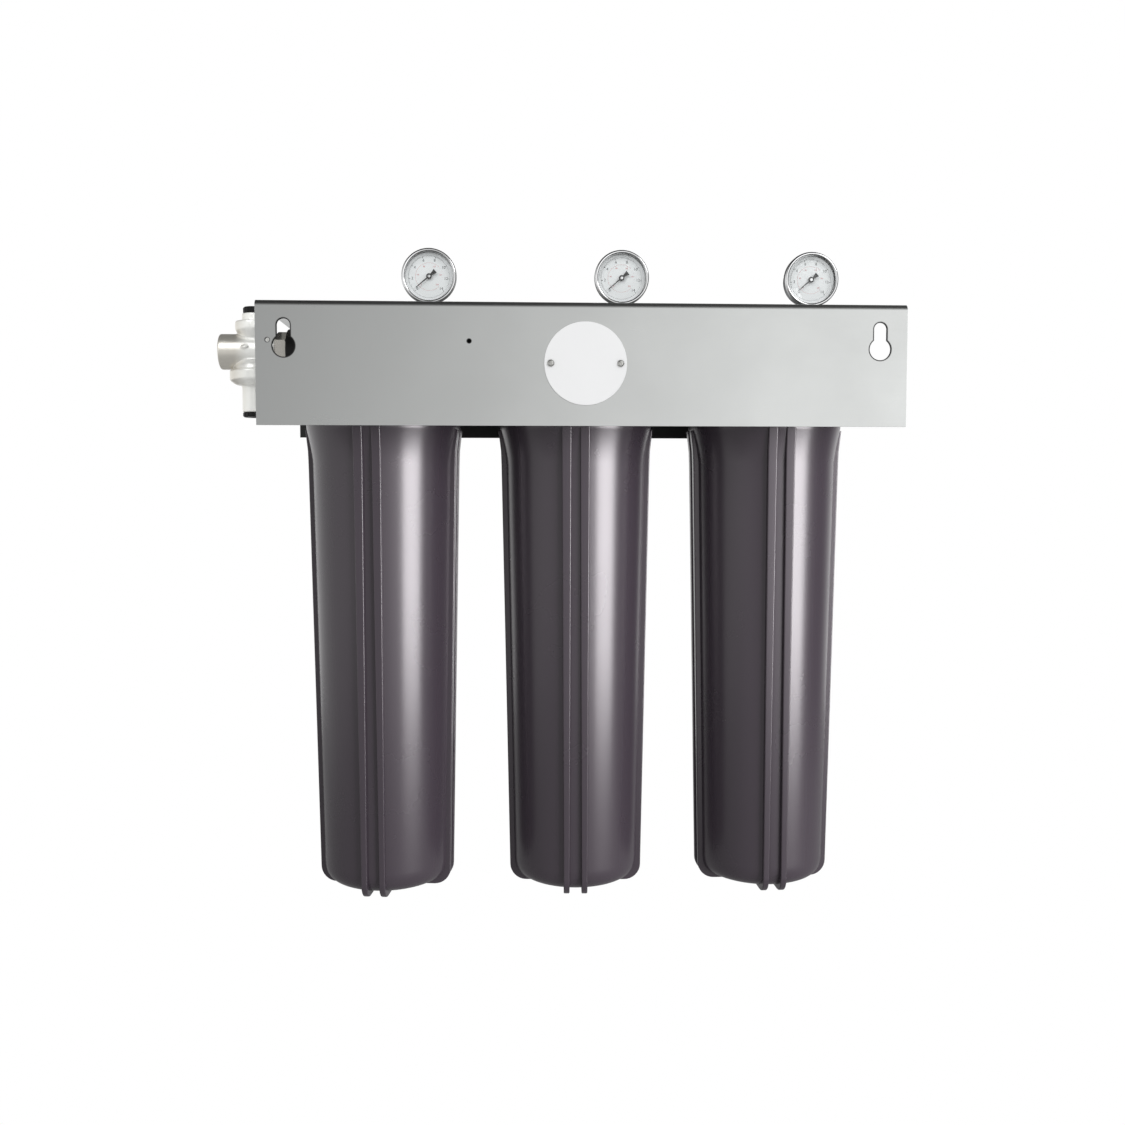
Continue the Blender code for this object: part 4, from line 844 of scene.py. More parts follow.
tree = FINISHES["brushed_stainless"].node_tree
steel = tree.nodes["Principled BSDF"].inputs["Base Color"]
place = split(tree, object_place(tree))
from_keyhole = math(tree, "SUBTRACT", math(tree, "ABSOLUTE", place["X"]), KEYHOLE_X)
slot_z = math(tree, "SUBTRACT", place["Z"], KEYHOLE_ARC_Z - KEYHOLE_RISE / 2)
round_z = math(tree, "SUBTRACT", place["Z"], KEYHOLE_ARC_Z - KEYHOLE_RISE)
small_z = math(tree, "SUBTRACT", place["Z"], SMALL_HOLE_Z)
edges = [from_hole(tree, from_keyhole, slot_z, KEYHOLE_SLOT_RADIUS, KEYHOLE_RISE / 2),
         from_hole(tree, from_keyhole, round_z, KEYHOLE_ROUND_RADIUS)]
for x in SMALL_HOLES:
    across = math(tree, "SUBTRACT", place["X"], x)
    edges.append(from_hole(tree, across, small_z, SMALL_HOLE_RADIUS - HOLE_SHADE_FULL))
nearest = edges[0]
for edge in edges[1:]:
    nearest = math(tree, "MINIMUM", nearest, edge)
# Painted shade: the steel goes dark close to each hole's edge, where the sheet's cut wall lies in shade.
rim = ease(tree, nearest, HOLE_SHADE_FULL, HOLE_SHADE_WIDTH, 1.0, 0.0)
tree.links.new(mix_colour(tree, rim, steel.links[0].from_socket, HOLE_SHADE_COLOUR), steel)
print(f"rims round {len(edges)} shapes of holes")

# %% [markdown]
# ## Round plate
#
# A plain white enamelled disc, held on the front of the bracket by two small screws. It is turned with a
# rounded edge, and its two holes are punched like those of the sheet.

# %% The disc
LABEL_RADIUS = 0.0394
LABEL_THICKNESS = 0.0015
LABEL_EDGE = 0.0004
disc = rod("enamel_disc", LABEL_RADIUS, GAP, GAP + LABEL_THICKNESS, (0.0, front_y, LABEL_Z), TO_FRONT,
           ROUND_STEPS, LABEL_EDGE)
for sign in (-1, 1):
    punch(disc, LABEL_HOLE_RADIUS, (sign * LABEL_SCREW_X, front_y, LABEL_Z), TO_FRONT, FEW_STEPS)
smooth(disc)
use(disc, "WEIGHTED_NORMAL", keep_sharp=True)
dress(disc, "root", "white_plate", "label_disc")

# %% [markdown]
# ## Screws of the plate
#
# Each screw is turned, and two narrow blocks at a right angle cut its cross recess. The cross is turned a
# little, because a driver never stops quite square.

# %% Screws with a cross recess
RECESS_LENGTH = 0.0021
RECESS_WIDTH = 0.00035
RECESS_TURN = radians(35)
seat = 2 * GAP + LABEL_THICKNESS
cross_screw = [
    (0.0, seat + 0.0018), (0.0024, seat + 0.0016, 0.0006), (0.0034, seat + 0.0006, 0.0004), (0.0034, seat),
    (0.0019, seat), (0.0019, seat - 0.0064), (0.0012, seat - 0.0070), (0.0, seat - 0.0070),
]
for side, sign in (("left", -1), ("right", 1)):
    screw = turned(f"cross_screw_{side}", cross_screw)
    for quarter in (0.0, pi / 2):
        slot = block("recess", (-RECESS_LENGTH, -RECESS_WIDTH, seat + 0.0008),
                     (RECESS_LENGTH, RECESS_WIDTH, seat + 0.003))
        put(slot, ORIGIN, (0.0, 0.0, quarter + RECESS_TURN))
        combine(screw, slot)
    put(screw, (sign * LABEL_SCREW_X, front_y, LABEL_Z), TO_FRONT)
    smooth(screw)
    dress(screw, "root", "zinc_plated_steel", f"label_screw_{side}")

# %% [markdown]
# ## Heads
#
# Each head is a moulded cap: a crown that bolts up under the bracket, and a skirt with a coarse inner thread
# for the sump. It is turned in one outline, crown, skirt, roof and centre boss together. The skirt is fluted
# for grip: every other pair of its narrow faces is pressed in.

# %% Turn one head and flute its skirt
SKIRT_ROOF_Z = skirt_z + 0.0413
SKIRT_TOP = SKIRT_ROOF_Z + 0.0027
SKIRT_INSIDE = 0.0835
ROOF_Z = head_top - 0.0217
BOSS_Z = port_z - 0.0155
BOSS_LOW = BOSS_Z - 0.0090
FLUTE_DEPTH = 0.0012
FLUTE_SLACK = 0.0008
FLUTE_AREA = 0.0001
head = turned("head", [
    (0.0, head_top), (0.0645, head_top, 0.003), (0.0700, SKIRT_TOP + 0.0110, 0.006),
    (head_radius, SKIRT_TOP, 0.0035), (head_radius, skirt_z, 0.0020), (SKIRT_INSIDE, skirt_z, 0.0010),
    (SKIRT_INSIDE, SKIRT_ROOF_Z), (0.0665, SKIRT_ROOF_Z, 0.0010), (0.0600, ROOF_Z, 0.0030),
    (0.0190, ROOF_Z, 0.0020), (0.0190, BOSS_Z, 0.0010), (0.0128, BOSS_Z), (0.0128, BOSS_LOW, 0.0010),
    (0.0, BOSS_LOW),
], steps=ROUND_STEPS)
press_in(head, FLUTE_DEPTH, head_radius, FLUTE_SLACK,
         lambda f: f.calc_area() > FLUTE_AREA and sector(f) % 4 < 2)
print(f"fluted head with {len(head.data.polygons)} faces")

# %% [markdown]
# ## Ports of a head
#
# A port on each side takes the pipe. Two bosses and the web between them are joined to the head first. Each
# mouth is then tapped: the cutter is a rod with a ring at every pitch, which costs far fewer faces than a
# helix and looks the same in a hole. The left passage stops short of the centre, so that water has to go
# through the cartridge.

# %% Bosses and tapped mouths
PORT_BOSS_RADIUS = 0.0235
PORT_BOSS_ROOT = 0.065
WEB_RADIUS = 0.0150
PORT_RADIUS = 0.0167
PORT_LENGTH = 0.0190
PORT_THREAD_DEPTH = 0.0012
PIPE_PITCH = 0.0023
PASSAGE_RADIUS = 0.0105
PASSAGE_STOP = 0.041
port_axis = (0.0, 0.0, port_z)


def tap(name, radius, depth, pitch, length, at, turn):
    """Cuts a tapped hole from its local height 0 down: a bore with a groove at every pitch."""
    points = [(0.0, depth), (radius, depth)]
    for i in range(int(length / pitch)):
        top = -i * pitch
        points += [(radius, top - pitch * 0.1), (radius - depth / 2, top - pitch * 0.5)]
        points += [(radius, top - pitch * 0.9)]
    points += [(radius - depth / 2, -length), (0.0, -length)]
    return turned(name, points, at, turn)


for turn in (AGAINST_X, ALONG_X):
    boss = turned("boss", [
        (0.0, port_reach), (PORT_BOSS_RADIUS, port_reach, 0.0015), (PORT_BOSS_RADIUS, PORT_BOSS_ROOT),
        (0.0, PORT_BOSS_ROOT),
    ], port_axis, turn)
    combine(head, boss, "UNION")
combine(head, rod("web", WEB_RADIUS, -PORT_BOSS_ROOT, PORT_BOSS_ROOT, port_axis, ALONG_X), "UNION")
for sign, turn, inner in ((-1, AGAINST_X, PASSAGE_STOP), (1, ALONG_X, 0.0)):
    mouth = (sign * port_reach, 0.0, port_z)
    combine(head, tap("tapped", PORT_RADIUS, PORT_THREAD_DEPTH, PIPE_PITCH, PORT_LENGTH, mouth, turn))
    combine(head, rod("passage", PASSAGE_RADIUS, inner, port_reach, port_axis, turn))
print(f"head with ports: {len(head.data.polygons)} faces")

# %% [markdown]
# ## Bores of a head
#
# Drilled from above and below, as a machine would: the centre that leads to the cartridge, the gauge's port,
# the pocket and bore of the relief button, and four holes for the screws. One head is finished and then
# copied to its three places.

# %% Drill the head and copy it
ABOVE = 0.002
HEAD_BORES = (
    ("centre", 0.0095, BOSS_Z - 0.012, port_z, 0.0),
    ("gauge_port", 0.0069, head_top - 0.0150, head_top + ABOVE, gauge_offset),
    ("relief_pocket", 0.0074, head_top - 0.0100, head_top + ABOVE, -gauge_offset),
    ("relief_bore", 0.0033, ROOF_Z - ABOVE, head_top, -gauge_offset),
)
for name, radius, low, high, x in HEAD_BORES:
    combine(head, rod(name, radius, low, high, (x, 0.0, 0.0)))
for sx, sy in HEAD_SCREWS:
    combine(head, rod("screw_bore", SCREW_HOLE_RADIUS, head_top - 0.0147, head_top + ABOVE, (sx, sy, 0.0),
                      steps=FEW_STEPS))
smooth(head)
for side in SIDES:
    made = copy(head, f"fluted_head_{side}", (house_x[side], axis_y, 0.0))
    dress(made, "root", "black_plastic", f"head_{side}")
discard(head)

# %% [markdown]
# ## Sumps
#
# The sump is the part that the eye goes to: a long bowl in satin anthracite plastic with four pairs of ribs.
# Body and ribs have a moulding draft. The outline could be a few straight lines, but the hollow curve under
# the collar and the squarish domed end give it its character, so both are worked out point by point.

# %% Turn one sump
THREAD_RADIUS = 0.0820
SUMP_WALL = 0.0055
RIB_HEIGHT = 0.0040
TAPER = 0.0188
TOP_RIB_RADIUS = 0.0772
COLLAR_Z = skirt_z - GAP
FLARE_TOP = COLLAR_Z - 0.0090
FLARE_LOW = FLARE_TOP - 0.0360
FLARE_WIDTH = 0.0060
FLARE_STEPS = 14
FLARE_POWER = 1.45
DOME_Z = foot_z + 0.0018
DOME_HEIGHT = 0.0360
DOME_POWER = 4.5
DOME_RINGS = 22


def crest(z):
    """Radius over the ribs at a height."""
    return TOP_RIB_RADIUS - (FLARE_LOW - z) * TAPER


def dome(low, radius, height):
    """The points of a domed end, down to the axis: a superellipse, squarer than a circle."""
    points = []
    for i in range(DOME_RINGS + 1):
        t = pi / 2 * i / DOME_RINGS
        across = radius * cos(t) ** (2 / DOME_POWER) if i < DOME_RINGS else 0.0
        points.append((across, low + height - height * sin(t) ** (2 / DOME_POWER)))
    return points


def flare():
    """The points of the hollow curve between collar and body, which meets the body without a corner."""
    points = []
    for i in range(1, FLARE_STEPS + 1):
        t = i / FLARE_STEPS
        z = FLARE_TOP + (FLARE_LOW - FLARE_TOP) * t
        points.append((body_top + FLARE_WIDTH * (1 - t) ** FLARE_POWER, z))
    return points


body_top = crest(FLARE_LOW) - RIB_HEIGHT
body_low = crest(DOME_Z + DOME_HEIGHT) - RIB_HEIGHT
collar = [
    (0.0, rim_z), (THREAD_RADIUS - 0.0015, rim_z, 0.001), (THREAD_RADIUS - 0.0025, COLLAR_Z + 0.002),
    (THREAD_RADIUS - 0.0020, COLLAR_Z, 0.001), (body_top + FLARE_WIDTH, FLARE_TOP, 0.002),
]
sump = turned("sump", collar + flare() + dome(DOME_Z, body_low, DOME_HEIGHT), steps=ROUND_STEPS)
print(f"sump body with {len(sump.data.polygons)} faces")

# %% [markdown]
# ## Thread of a sump
#
# The coarse thread shows when the sump comes down, so it is a real helix and not a row of rings. Its section
# is drawn once and swept by the Screw modifier, its ends are closed, and it is joined to the body.

# %% Helical thread
THREAD_PITCH = 0.0080
THREAD_TURNS = 4
THREAD_ROOT = 0.0790
THREAD_START = rim_z - 0.0385


def helix(obj, pitch, turns, steps):
    """Sweeps a closed outline along a helix about Z, and closes its ends."""
    use(obj, "SCREW", axis="Z", steps=steps, render_steps=steps, screw_offset=pitch, iterations=turns)
    edit(obj)
    bpy.ops.mesh.fill_holes(sides=0)
    weld()


ridge = draw("thread", [
    (THREAD_ROOT, 0.0), (THREAD_RADIUS, 0.0012), (THREAD_RADIUS, 0.0032), (THREAD_ROOT, 0.0044),
], closed=True)
bpy.ops.mesh.select_all(action="SELECT")
bpy.ops.transform.translate(value=(0.0, 0.0, THREAD_START))
leave()
helix(ridge, THREAD_PITCH, THREAD_TURNS, ROUND_STEPS)
combine(sump, ridge, "UNION")
print(f"threaded sump with {len(sump.data.polygons)} faces")

# %% [markdown]
# ## Ribs of a sump
#
# Eight ribs could be made one by one. Four slabs that run right through the body make them in pairs, and
# their outline is that of the whole sump. Each height of a slab is then narrowed a little more towards the
# foot, as the mould's draft does, and its long edges are bevelled.

# %% Four slabs make eight ribs
RIB_TOP_WIDTH = 0.0096
RIB_FOOT_WIDTH = 0.0060
RIB_PITCH = 0.0182
RIB_EDGE = 0.0011
FLARE_TURN = FLARE_LOW + 0.0144
FOOT_CORNER = 0.0170
FOOT_STEPS = 8
INNER_DOME_Z = DOME_Z + SUMP_WALL
corner_z = foot_z + FOOT_CORNER
corner_x = crest(corner_z) - FOOT_CORNER
half_outline = [
    (body_top + FLARE_WIDTH + 0.0010, FLARE_TOP), (crest(FLARE_LOW) + 0.0005, FLARE_TURN),
    (crest(FLARE_LOW), FLARE_LOW), (crest(-0.25), -0.25), (crest(-0.40), -0.40),
]
for i in range(FOOT_STEPS + 1):
    a = -pi / 2 * i / FOOT_STEPS
    half_outline.append((corner_x + FOOT_CORNER * cos(a), corner_z + FOOT_CORNER * sin(a)))
half_outline += [(0.0300, foot_z), (0.0282, INNER_DOME_Z)]
rib_outline = half_outline + [(-x, z) for x, z in reversed(half_outline)]


def rib_slab(quarter, sign):
    """A slab through the whole sump, whose two ends stand out as ribs."""
    slab = draw("slab", rib_outline, closed=True)
    bpy.ops.mesh.select_all(action="SELECT")
    bpy.ops.mesh.edge_face_add()
    bpy.ops.transform.translate(value=(0.0, -RIB_TOP_WIDTH / 2, 0.0))
    extrude((0.0, RIB_TOP_WIDTH, 0.0))
    for z in sorted({round(point[1], 6) for point in half_outline}):
        share = (FLARE_TOP - z) / (FLARE_TOP - foot_z)
        narrow = 1 - (1 - RIB_FOOT_WIDTH / RIB_TOP_WIDTH) * share
        pick("verts", lambda v: abs(v.co.z - z) < 2 * MERGE)
        bpy.ops.transform.resize(value=(1.0, narrow, 1.0), center_override=(0.0, 0.0, z))
    pick("edges", lambda e: e.verts[0].co.y * e.verts[1].co.y > 0)
    bpy.ops.mesh.bevel(offset=RIB_EDGE, segments=3, affect="EDGES")
    weld()
    put(slab, (0.0, sign * RIB_PITCH / 2, 0.0))
    return put(slab, ORIGIN, (0.0, 0.0, quarter))


for quarter in (0.0, pi / 2):
    for sign in (-1, 1):
        combine(sump, rib_slab(quarter, sign), "UNION")
print(f"ribbed sump with {len(sump.data.polygons)} faces")

# %% [markdown]
# ## Hollow of a sump
#
# The inside is cut last, out of body and slabs together, so that the ribs show outside only. A seat on its
# floor holds the cartridge, and a groove in the rim takes the O-ring. The three sumps stop at slightly
# different turns, as they do when each is tightened by hand.

# %% Hollow, seat and groove
SEAT_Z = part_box("cartridge_middle")[0].z - GAP
SEAT_LOW = INNER_DOME_Z - 0.0028
HOLLOW_RADIUS = 0.0660
SEAL_RISE = 0.0010
GROOVE_LOW = rim_z + SEAL_RISE - 0.0054 - GAP
CLOCKINGS = {"left": radians(-6.8), "middle": radians(-3.0), "right": radians(1.0)}
hollow = [(0.0, rim_z + ABOVE), (HOLLOW_RADIUS, rim_z + ABOVE), (HOLLOW_RADIUS, FLARE_LOW)]
hollow += dome(INNER_DOME_Z, body_low - SUMP_WALL, DOME_HEIGHT - SUMP_WALL / 2)
combine(sump, turned("hollow", hollow, steps=ROUND_STEPS))
combine(sump, turned("seat", [
    (0.0, SEAT_Z + 0.0100), (0.0120, SEAT_Z + 0.0100, 0.002), (0.0120, SEAT_Z), (0.0200, SEAT_Z, 0.001),
    (0.0200, SEAT_LOW), (0.0, SEAT_LOW),
]), "UNION")
combine(sump, turned("groove", [
    (0.0770, rim_z + ABOVE), (0.0770, GROOVE_LOW), (0.0710, GROOVE_LOW), (0.0710, rim_z + ABOVE),
], steps=ROUND_STEPS, closed=True))
smooth(sump)
use(sump, "WEIGHTED_NORMAL", keep_sharp=True, weight=100)
sumps = []
for side in SIDES:
    turn = (0.0, 0.0, CLOCKINGS[side])
    sumps.append(copy(sump, f"ribbed_sump_{side}", (house_x[side], axis_y, 0.0), turn))
    dress(sumps[-1], f"sump_{side}", "anthracite_plastic", f"sump_{side}")
shine_on(softbox, sumps)
discard(sump)

# %% [markdown]
# ## Seals
#
# An O-ring lies in the rim of each sump. A torus would do, but the ring is drawn as a circle of points with
# two of them standing out, which gives the thin parting line of its mould.

# %% One O-ring
SEAL_RADIUS = 0.0740
SEAL_SECTION = 0.0027
SEAL_FLASH = 0.00012
SEAL_POINTS = 20
section = []
for i in range(SEAL_POINTS):
    a = 2 * pi * i / SEAL_POINTS
    reach = SEAL_SECTION - (0.0 if i in (0, SEAL_POINTS // 2) else SEAL_FLASH)
    section.append((SEAL_RADIUS + reach * cos(a), rim_z + SEAL_RISE - SEAL_SECTION + reach * sin(a)))
seal = turned("seal", section[::-1], steps=ROUND_STEPS, closed=True)
print(f"seal with {len(seal.data.polygons)} faces")

# %% [markdown]
# ## Cartridges
#
# They show only when a housing is opened. Each is a thick tube of spun fibre between two moulded caps, and
# each cap has a flat gasket. The fibre's windings are shallow grooves in the tube's outline, because real
# strands would take far more faces. The seals are copied to the three housings together with them.

# %% Wound medium, caps and the copies
CARTRIDGE_RADIUS = 0.0570
CARTRIDGE_BORE = 0.0140
CARTRIDGE_CAP = 0.0120
MEDIUM_RADIUS = 0.0555
WINDINGS = 60
GASKET_RADIUS = 0.0200
GASKET_RISE = 0.0020
cartridge_low, cartridge_high = [v.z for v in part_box("cartridge_middle")]
medium_low = cartridge_low + CARTRIDGE_CAP
medium_high = cartridge_high - CARTRIDGE_CAP
wound = [(CARTRIDGE_BORE, medium_high), (MEDIUM_RADIUS, medium_high)]
for i in range(WINDINGS):
    top = medium_high - 0.001 - (medium_high - medium_low - 0.002) * i / WINDINGS
    wound += [(0.0558, top - 0.001), (0.0552, top - 0.004)]
wound += [(MEDIUM_RADIUS, medium_low), (CARTRIDGE_BORE, medium_low)]
medium = turned("medium", wound, closed=True)
caps = []
for end, way in ((cartridge_high, -1), (cartridge_low, 1)):
    gasket = end + way * GASKET_RISE
    lip = end + way * (CARTRIDGE_CAP + 0.0005)
    inside = end + way * CARTRIDGE_CAP
    caps.append(turned("cap", [
        (CARTRIDGE_BORE, end), (GASKET_RADIUS, end, 0.0005), (GASKET_RADIUS, gasket),
        (CARTRIDGE_RADIUS, gasket, 0.0012), (CARTRIDGE_RADIUS, lip, 0.0004), (0.0556, lip), (0.0550, inside),
        (CARTRIDGE_BORE, inside),
    ], closed=True))
for side in SIDES:
    at = (house_x[side], axis_y, 0.0)
    dress(copy(seal, f"o_ring_{side}", at), f"sump_{side}", "black_rubber", f"sump_seal_{side}")
    made = copy(medium, f"wound_medium_{side}", at)
    dress(made, f"cartridge_{side}", "filter_medium", f"cartridge_{side}")
    for cap, end in zip(caps, ("top", "foot")):
        dress(copy(cap, f"cartridge_cap_{end}_{side}", at), f"cartridge_{side}", "white_plate")
discard(seal, medium, *caps)

# %% [markdown]
# ## Nipples between the heads
#
# Two short threaded pipes join the three heads. Their thread is drawn as rings in the outline, because only
# a few turns of it would ever be seen. The same zigzag is used for the threads of screws, stems and valve.

# %% Threaded links
PIPE_DEPTH = 0.0009
LINK_RADIUS = 0.0164
LINK_BORE = 0.0120
LINK_END_RADIUS = LINK_RADIUS - 0.0010
NIPPLE_FACE = 0.0010


def zigzag(radius, depth, pitch, high, low):
    """The points of a thread's outline from one height down to another."""
    points = []
    for i in range(int((high - low) / pitch)):
        top = high - i * pitch
        points += [(radius, top - pitch * 0.10), (radius, top - pitch * 0.30)]
        points += [(radius - depth, top - pitch * 0.65), (radius - depth, top - pitch * 0.75)]
    return points


link_reach = (nipple_high.x - nipple_low.x) / 2
link_outline = [(LINK_BORE, link_reach), (LINK_END_RADIUS, link_reach)]
link_outline += zigzag(LINK_RADIUS, PIPE_DEPTH, PIPE_PITCH, link_reach - NIPPLE_FACE,
                       -link_reach + NIPPLE_FACE)
link_outline += [(LINK_END_RADIUS, -link_reach), (LINK_BORE, -link_reach)]
link = turned("link", link_outline, closed=True)
for side in ("left", "right"):
    at = ((house_x[side] + house_x["middle"]) / 2, axis_y, port_z)
    dress(copy(link, f"threaded_link_{side}", at, ALONG_X), "root", "brushed_nickel", f"link_nipple_{side}")
discard(link)

# %% [markdown]
# ## Nipple at the inlet
#
# A hexagon nipple joins the valve to the left head. A plain prism would have sharp corners, but a real one is
# turned at both ends, so it is cut here with a cone at each end, as on a nut. The threads on its two sides
# differ, so each has its own outline, and a bore runs through both.

# %% Hexagon nipple
VALVE_SIDE_RADIUS = 0.0129
VALVE_PITCH = 0.0018
NIPPLE_BORE = 0.0080
HEX_HALF_FLATS = 0.0180
HEX_LENGTH = 0.0110
HEX_CHAMFER = 0.0008
THREAD_RELIEF = 0.0016
THREAD_RUN_OUT = 0.0015


def hexagon(name, half_flats, low, high, chamfer):
    """A hexagon whose two ends are turned to a cone, as on a nut."""
    corner = half_flats / cos(pi / 6)
    obj = rod(name, corner, low, high, steps=6)
    combine(obj, turned("cone", [
        (0.0, high), (corner - 2 * chamfer, high), (corner + chamfer, high - 1.5 * chamfer),
        (corner + chamfer, low + 1.5 * chamfer), (corner - 2 * chamfer, low), (0.0, low),
    ]), "INTERSECT")
    return obj


hex_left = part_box("head_left")[0].x - GAP - HEX_LENGTH
inlet_low, inlet_high = [v.x - hex_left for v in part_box("inlet_nipple")]
head_root = LINK_RADIUS - THREAD_RELIEF
valve_root = VALVE_SIDE_RADIUS - THREAD_RELIEF
thread_end = HEX_LENGTH + THREAD_RUN_OUT
head_thread = [(0.0, inlet_high), (LINK_RADIUS - 0.001, inlet_high)]
head_thread += zigzag(LINK_RADIUS, PIPE_DEPTH, PIPE_PITCH, inlet_high - NIPPLE_FACE, thread_end)
head_thread += [(head_root, thread_end), (head_root, HEX_LENGTH / 2), (0.0, HEX_LENGTH / 2)]
valve_thread = [(0.0, HEX_LENGTH / 2), (valve_root, HEX_LENGTH / 2), (valve_root, -THREAD_RUN_OUT)]
valve_thread += zigzag(VALVE_SIDE_RADIUS, PIPE_DEPTH, VALVE_PITCH, -THREAD_RUN_OUT, inlet_low + NIPPLE_FACE)
valve_thread += [(VALVE_SIDE_RADIUS - 0.001, inlet_low), (0.0, inlet_low)]
nipple = hexagon("hexagon_nipple", HEX_HALF_FLATS, 0.0, HEX_LENGTH, HEX_CHAMFER)
combine(nipple, turned("head_thread", head_thread), "UNION")
combine(nipple, turned("valve_thread", valve_thread), "UNION")
combine(nipple, rod("bore", NIPPLE_BORE, inlet_low - ABOVE, inlet_high + ABOVE))
put(nipple, (hex_left, axis_y, port_z), ALONG_X)
smooth(nipple)
dress(nipple, "root", "brushed_nickel", "inlet_nipple")

# %% [markdown]
# ## Screws of the heads
#
# Four hexagon screws hold each head up to the bracket. One is made from the hexagon and the zigzag of the
# nipples, with a shallow dish in its top. On each head every copy is turned a little further, so that the
# four don't stand in line.

# %% Head screws
SCREW_HALF_FLATS = 0.0050
SCREW_HEAD = 0.0040
SCREW_SHANK = 0.0030
SCREW_PITCH = 0.0010
SCREW_THREAD_DEPTH = 0.0006
SCREW_CHAMFER = 0.0005
SCREW_NECK = SCREW_SHANK - 0.0003
SCREW_STEP_TURN = 17
DISH_RADIUS = 0.0026
screw_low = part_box("head_screw_middle_1")[0].z
screw_seat = flange_top + GAP
screw = hexagon("hex_screw", SCREW_HALF_FLATS, screw_seat, screw_seat + SCREW_HEAD, SCREW_CHAMFER)
shank = [(0.0, screw_seat + SCREW_HEAD / 2), (SCREW_NECK, screw_seat + SCREW_HEAD / 2)]
shank += [(SCREW_NECK, screw_seat)]
shank += zigzag(SCREW_SHANK, SCREW_THREAD_DEPTH, SCREW_PITCH, screw_seat - 0.0005, screw_low + 0.0006)
shank += [(SCREW_SHANK - 0.0008, screw_low), (0.0, screw_low)]
combine(screw, turned("shank", shank, steps=FEW_STEPS), "UNION")
combine(screw, rod("dish", DISH_RADIUS, screw_seat + SCREW_HEAD - 0.0004, screw_seat + SCREW_HEAD + ABOVE,
                   steps=FEW_STEPS))
smooth(screw)
for side in SIDES:
    for number in range(1, len(HEAD_SCREWS) + 1):
        low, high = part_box(f"head_screw_{side}_{number}")
        at = ((low.x + high.x) / 2, (low.y + high.y) / 2, 0.0)
        made = copy(screw, f"hex_screw_{side}_{number}", at, (0.0, 0.0, radians(SCREW_STEP_TURN * number)))
        dress(made, "root", "zinc_plated_steel", f"head_screw_{side}_{number}")
discard(screw)

# %% [markdown]
# ## Relief buttons
#
# Beside the screws a red button lets trapped pressure out of the housing. It is one turned piece: a dished
# top for the thumb, a stem, and a foot with a groove for its seal.

# %% One red button
BUTTON_RADIUS = 0.0065
STEM_RADIUS = 0.0030
RELIEF_SEAL = 0.0058
RELIEF_GROOVE = 0.0050
button_low, button_top = [v.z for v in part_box("relief_button_middle")]
button_seat = flange_top + 0.0010
seal_top = ROOF_Z - GAP
button = turned("button", [
    (0.0, button_top - 0.0007), (0.0040, button_top - 0.0004, 0.001), (0.0052, button_top, 0.0004),
    (BUTTON_RADIUS, button_top, 0.0009), (BUTTON_RADIUS, button_seat, 0.0004), (STEM_RADIUS, button_seat),
    (STEM_RADIUS, seal_top), (RELIEF_SEAL, seal_top, 0.0006), (RELIEF_SEAL, seal_top - 0.0008),
    (RELIEF_GROOVE, seal_top - 0.0010), (RELIEF_GROOVE, seal_top - 0.0020), (RELIEF_SEAL, seal_top - 0.0022),
    (RELIEF_SEAL, button_low, 0.0006), (0.0, button_low),
])
print(f"button with {len(button.data.polygons)} faces")

# %% [markdown]
# ## Springs under the buttons
#
# A spring could be a stack of rings, but rings show from close by. It is a round wire swept along a helix,
# like the sump's thread. Button and spring are copied to each head together.

# %% Buttons and their springs
POCKET_DEPTH = 0.0100
WIRE_STEPS = 10
COIL_STEPS = 32
BUTTON_COIL_RADIUS = 0.0050
BUTTON_WIRE = 0.0005
BUTTON_COILS = 4
pocket_floor = head_top - POCKET_DEPTH + GAP


def spring(name, radius, wire, turns, low, high, at):
    """A round wire along a helix, between two heights."""
    obj = add(bpy.ops.mesh.primitive_circle_add, name, vertices=WIRE_STEPS, radius=wire)
    put(obj, (radius, 0.0, low + wire), TO_FRONT)
    helix(obj, (high - low - 2 * wire) / turns, turns, COIL_STEPS)
    return smooth(put(obj, at))


for side in SIDES:
    at = (house_x[side] - gauge_offset, axis_y, 0.0)
    made = copy(button, f"red_button_{side}", at)
    dress(made, f"relief_button_{side}", "red_plastic", f"relief_button_{side}")
    coil = spring(f"button_spring_{side}", BUTTON_COIL_RADIUS, BUTTON_WIRE, BUTTON_COILS, pocket_floor,
                  button_seat - GAP, at)
    dress(coil, "root", "spring_steel", f"relief_spring_{side}")
    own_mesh(coil)
discard(button)

# %% [markdown]
# ## Pressure gauges
#
# A gauge is a chromed cup with a white dial, a pointer on an arbor, a flat window, and a bright bezel rolled
# over the front. Everything is turned about the gauge's own axis and later faced to the front. The bezel's
# roll falls further outside than inside, so its two sides mirror different parts of the room.

# %% Bezel, window and case
BEZEL_LIP = 0.0014
BEZEL_DEPTH = 0.0085
BEZEL_MOUTH = 0.0250
BEZEL_ROLL_INSIDE = 0.0012
BEZEL_ROLL_OUTSIDE = 0.0026
BEZEL_ROLL_STEPS = 16
BEZEL_INNER = bezel_radius - 0.0010
WINDOW_RADIUS = BEZEL_INNER - GAP
WINDOW_FRONT = -BEZEL_LIP - GAP
WINDOW_BACK = WINDOW_FRONT - 0.0015
CASE_RADIUS = bezel_radius - 0.0027
CASE_RIM = WINDOW_BACK - GAP
CASE_SHOULDER = CASE_RIM - 0.0014
CASE_BACK = CASE_RIM - 0.0200
CASE_WALL = 0.0010
CASE_INSIDE = CASE_RADIUS - CASE_WALL
CASE_GROOVE = CASE_RADIUS - 0.0005
CASE_EDGE = 0.0025
middle = (bezel_radius + BEZEL_MOUTH) / 2
rolled = []
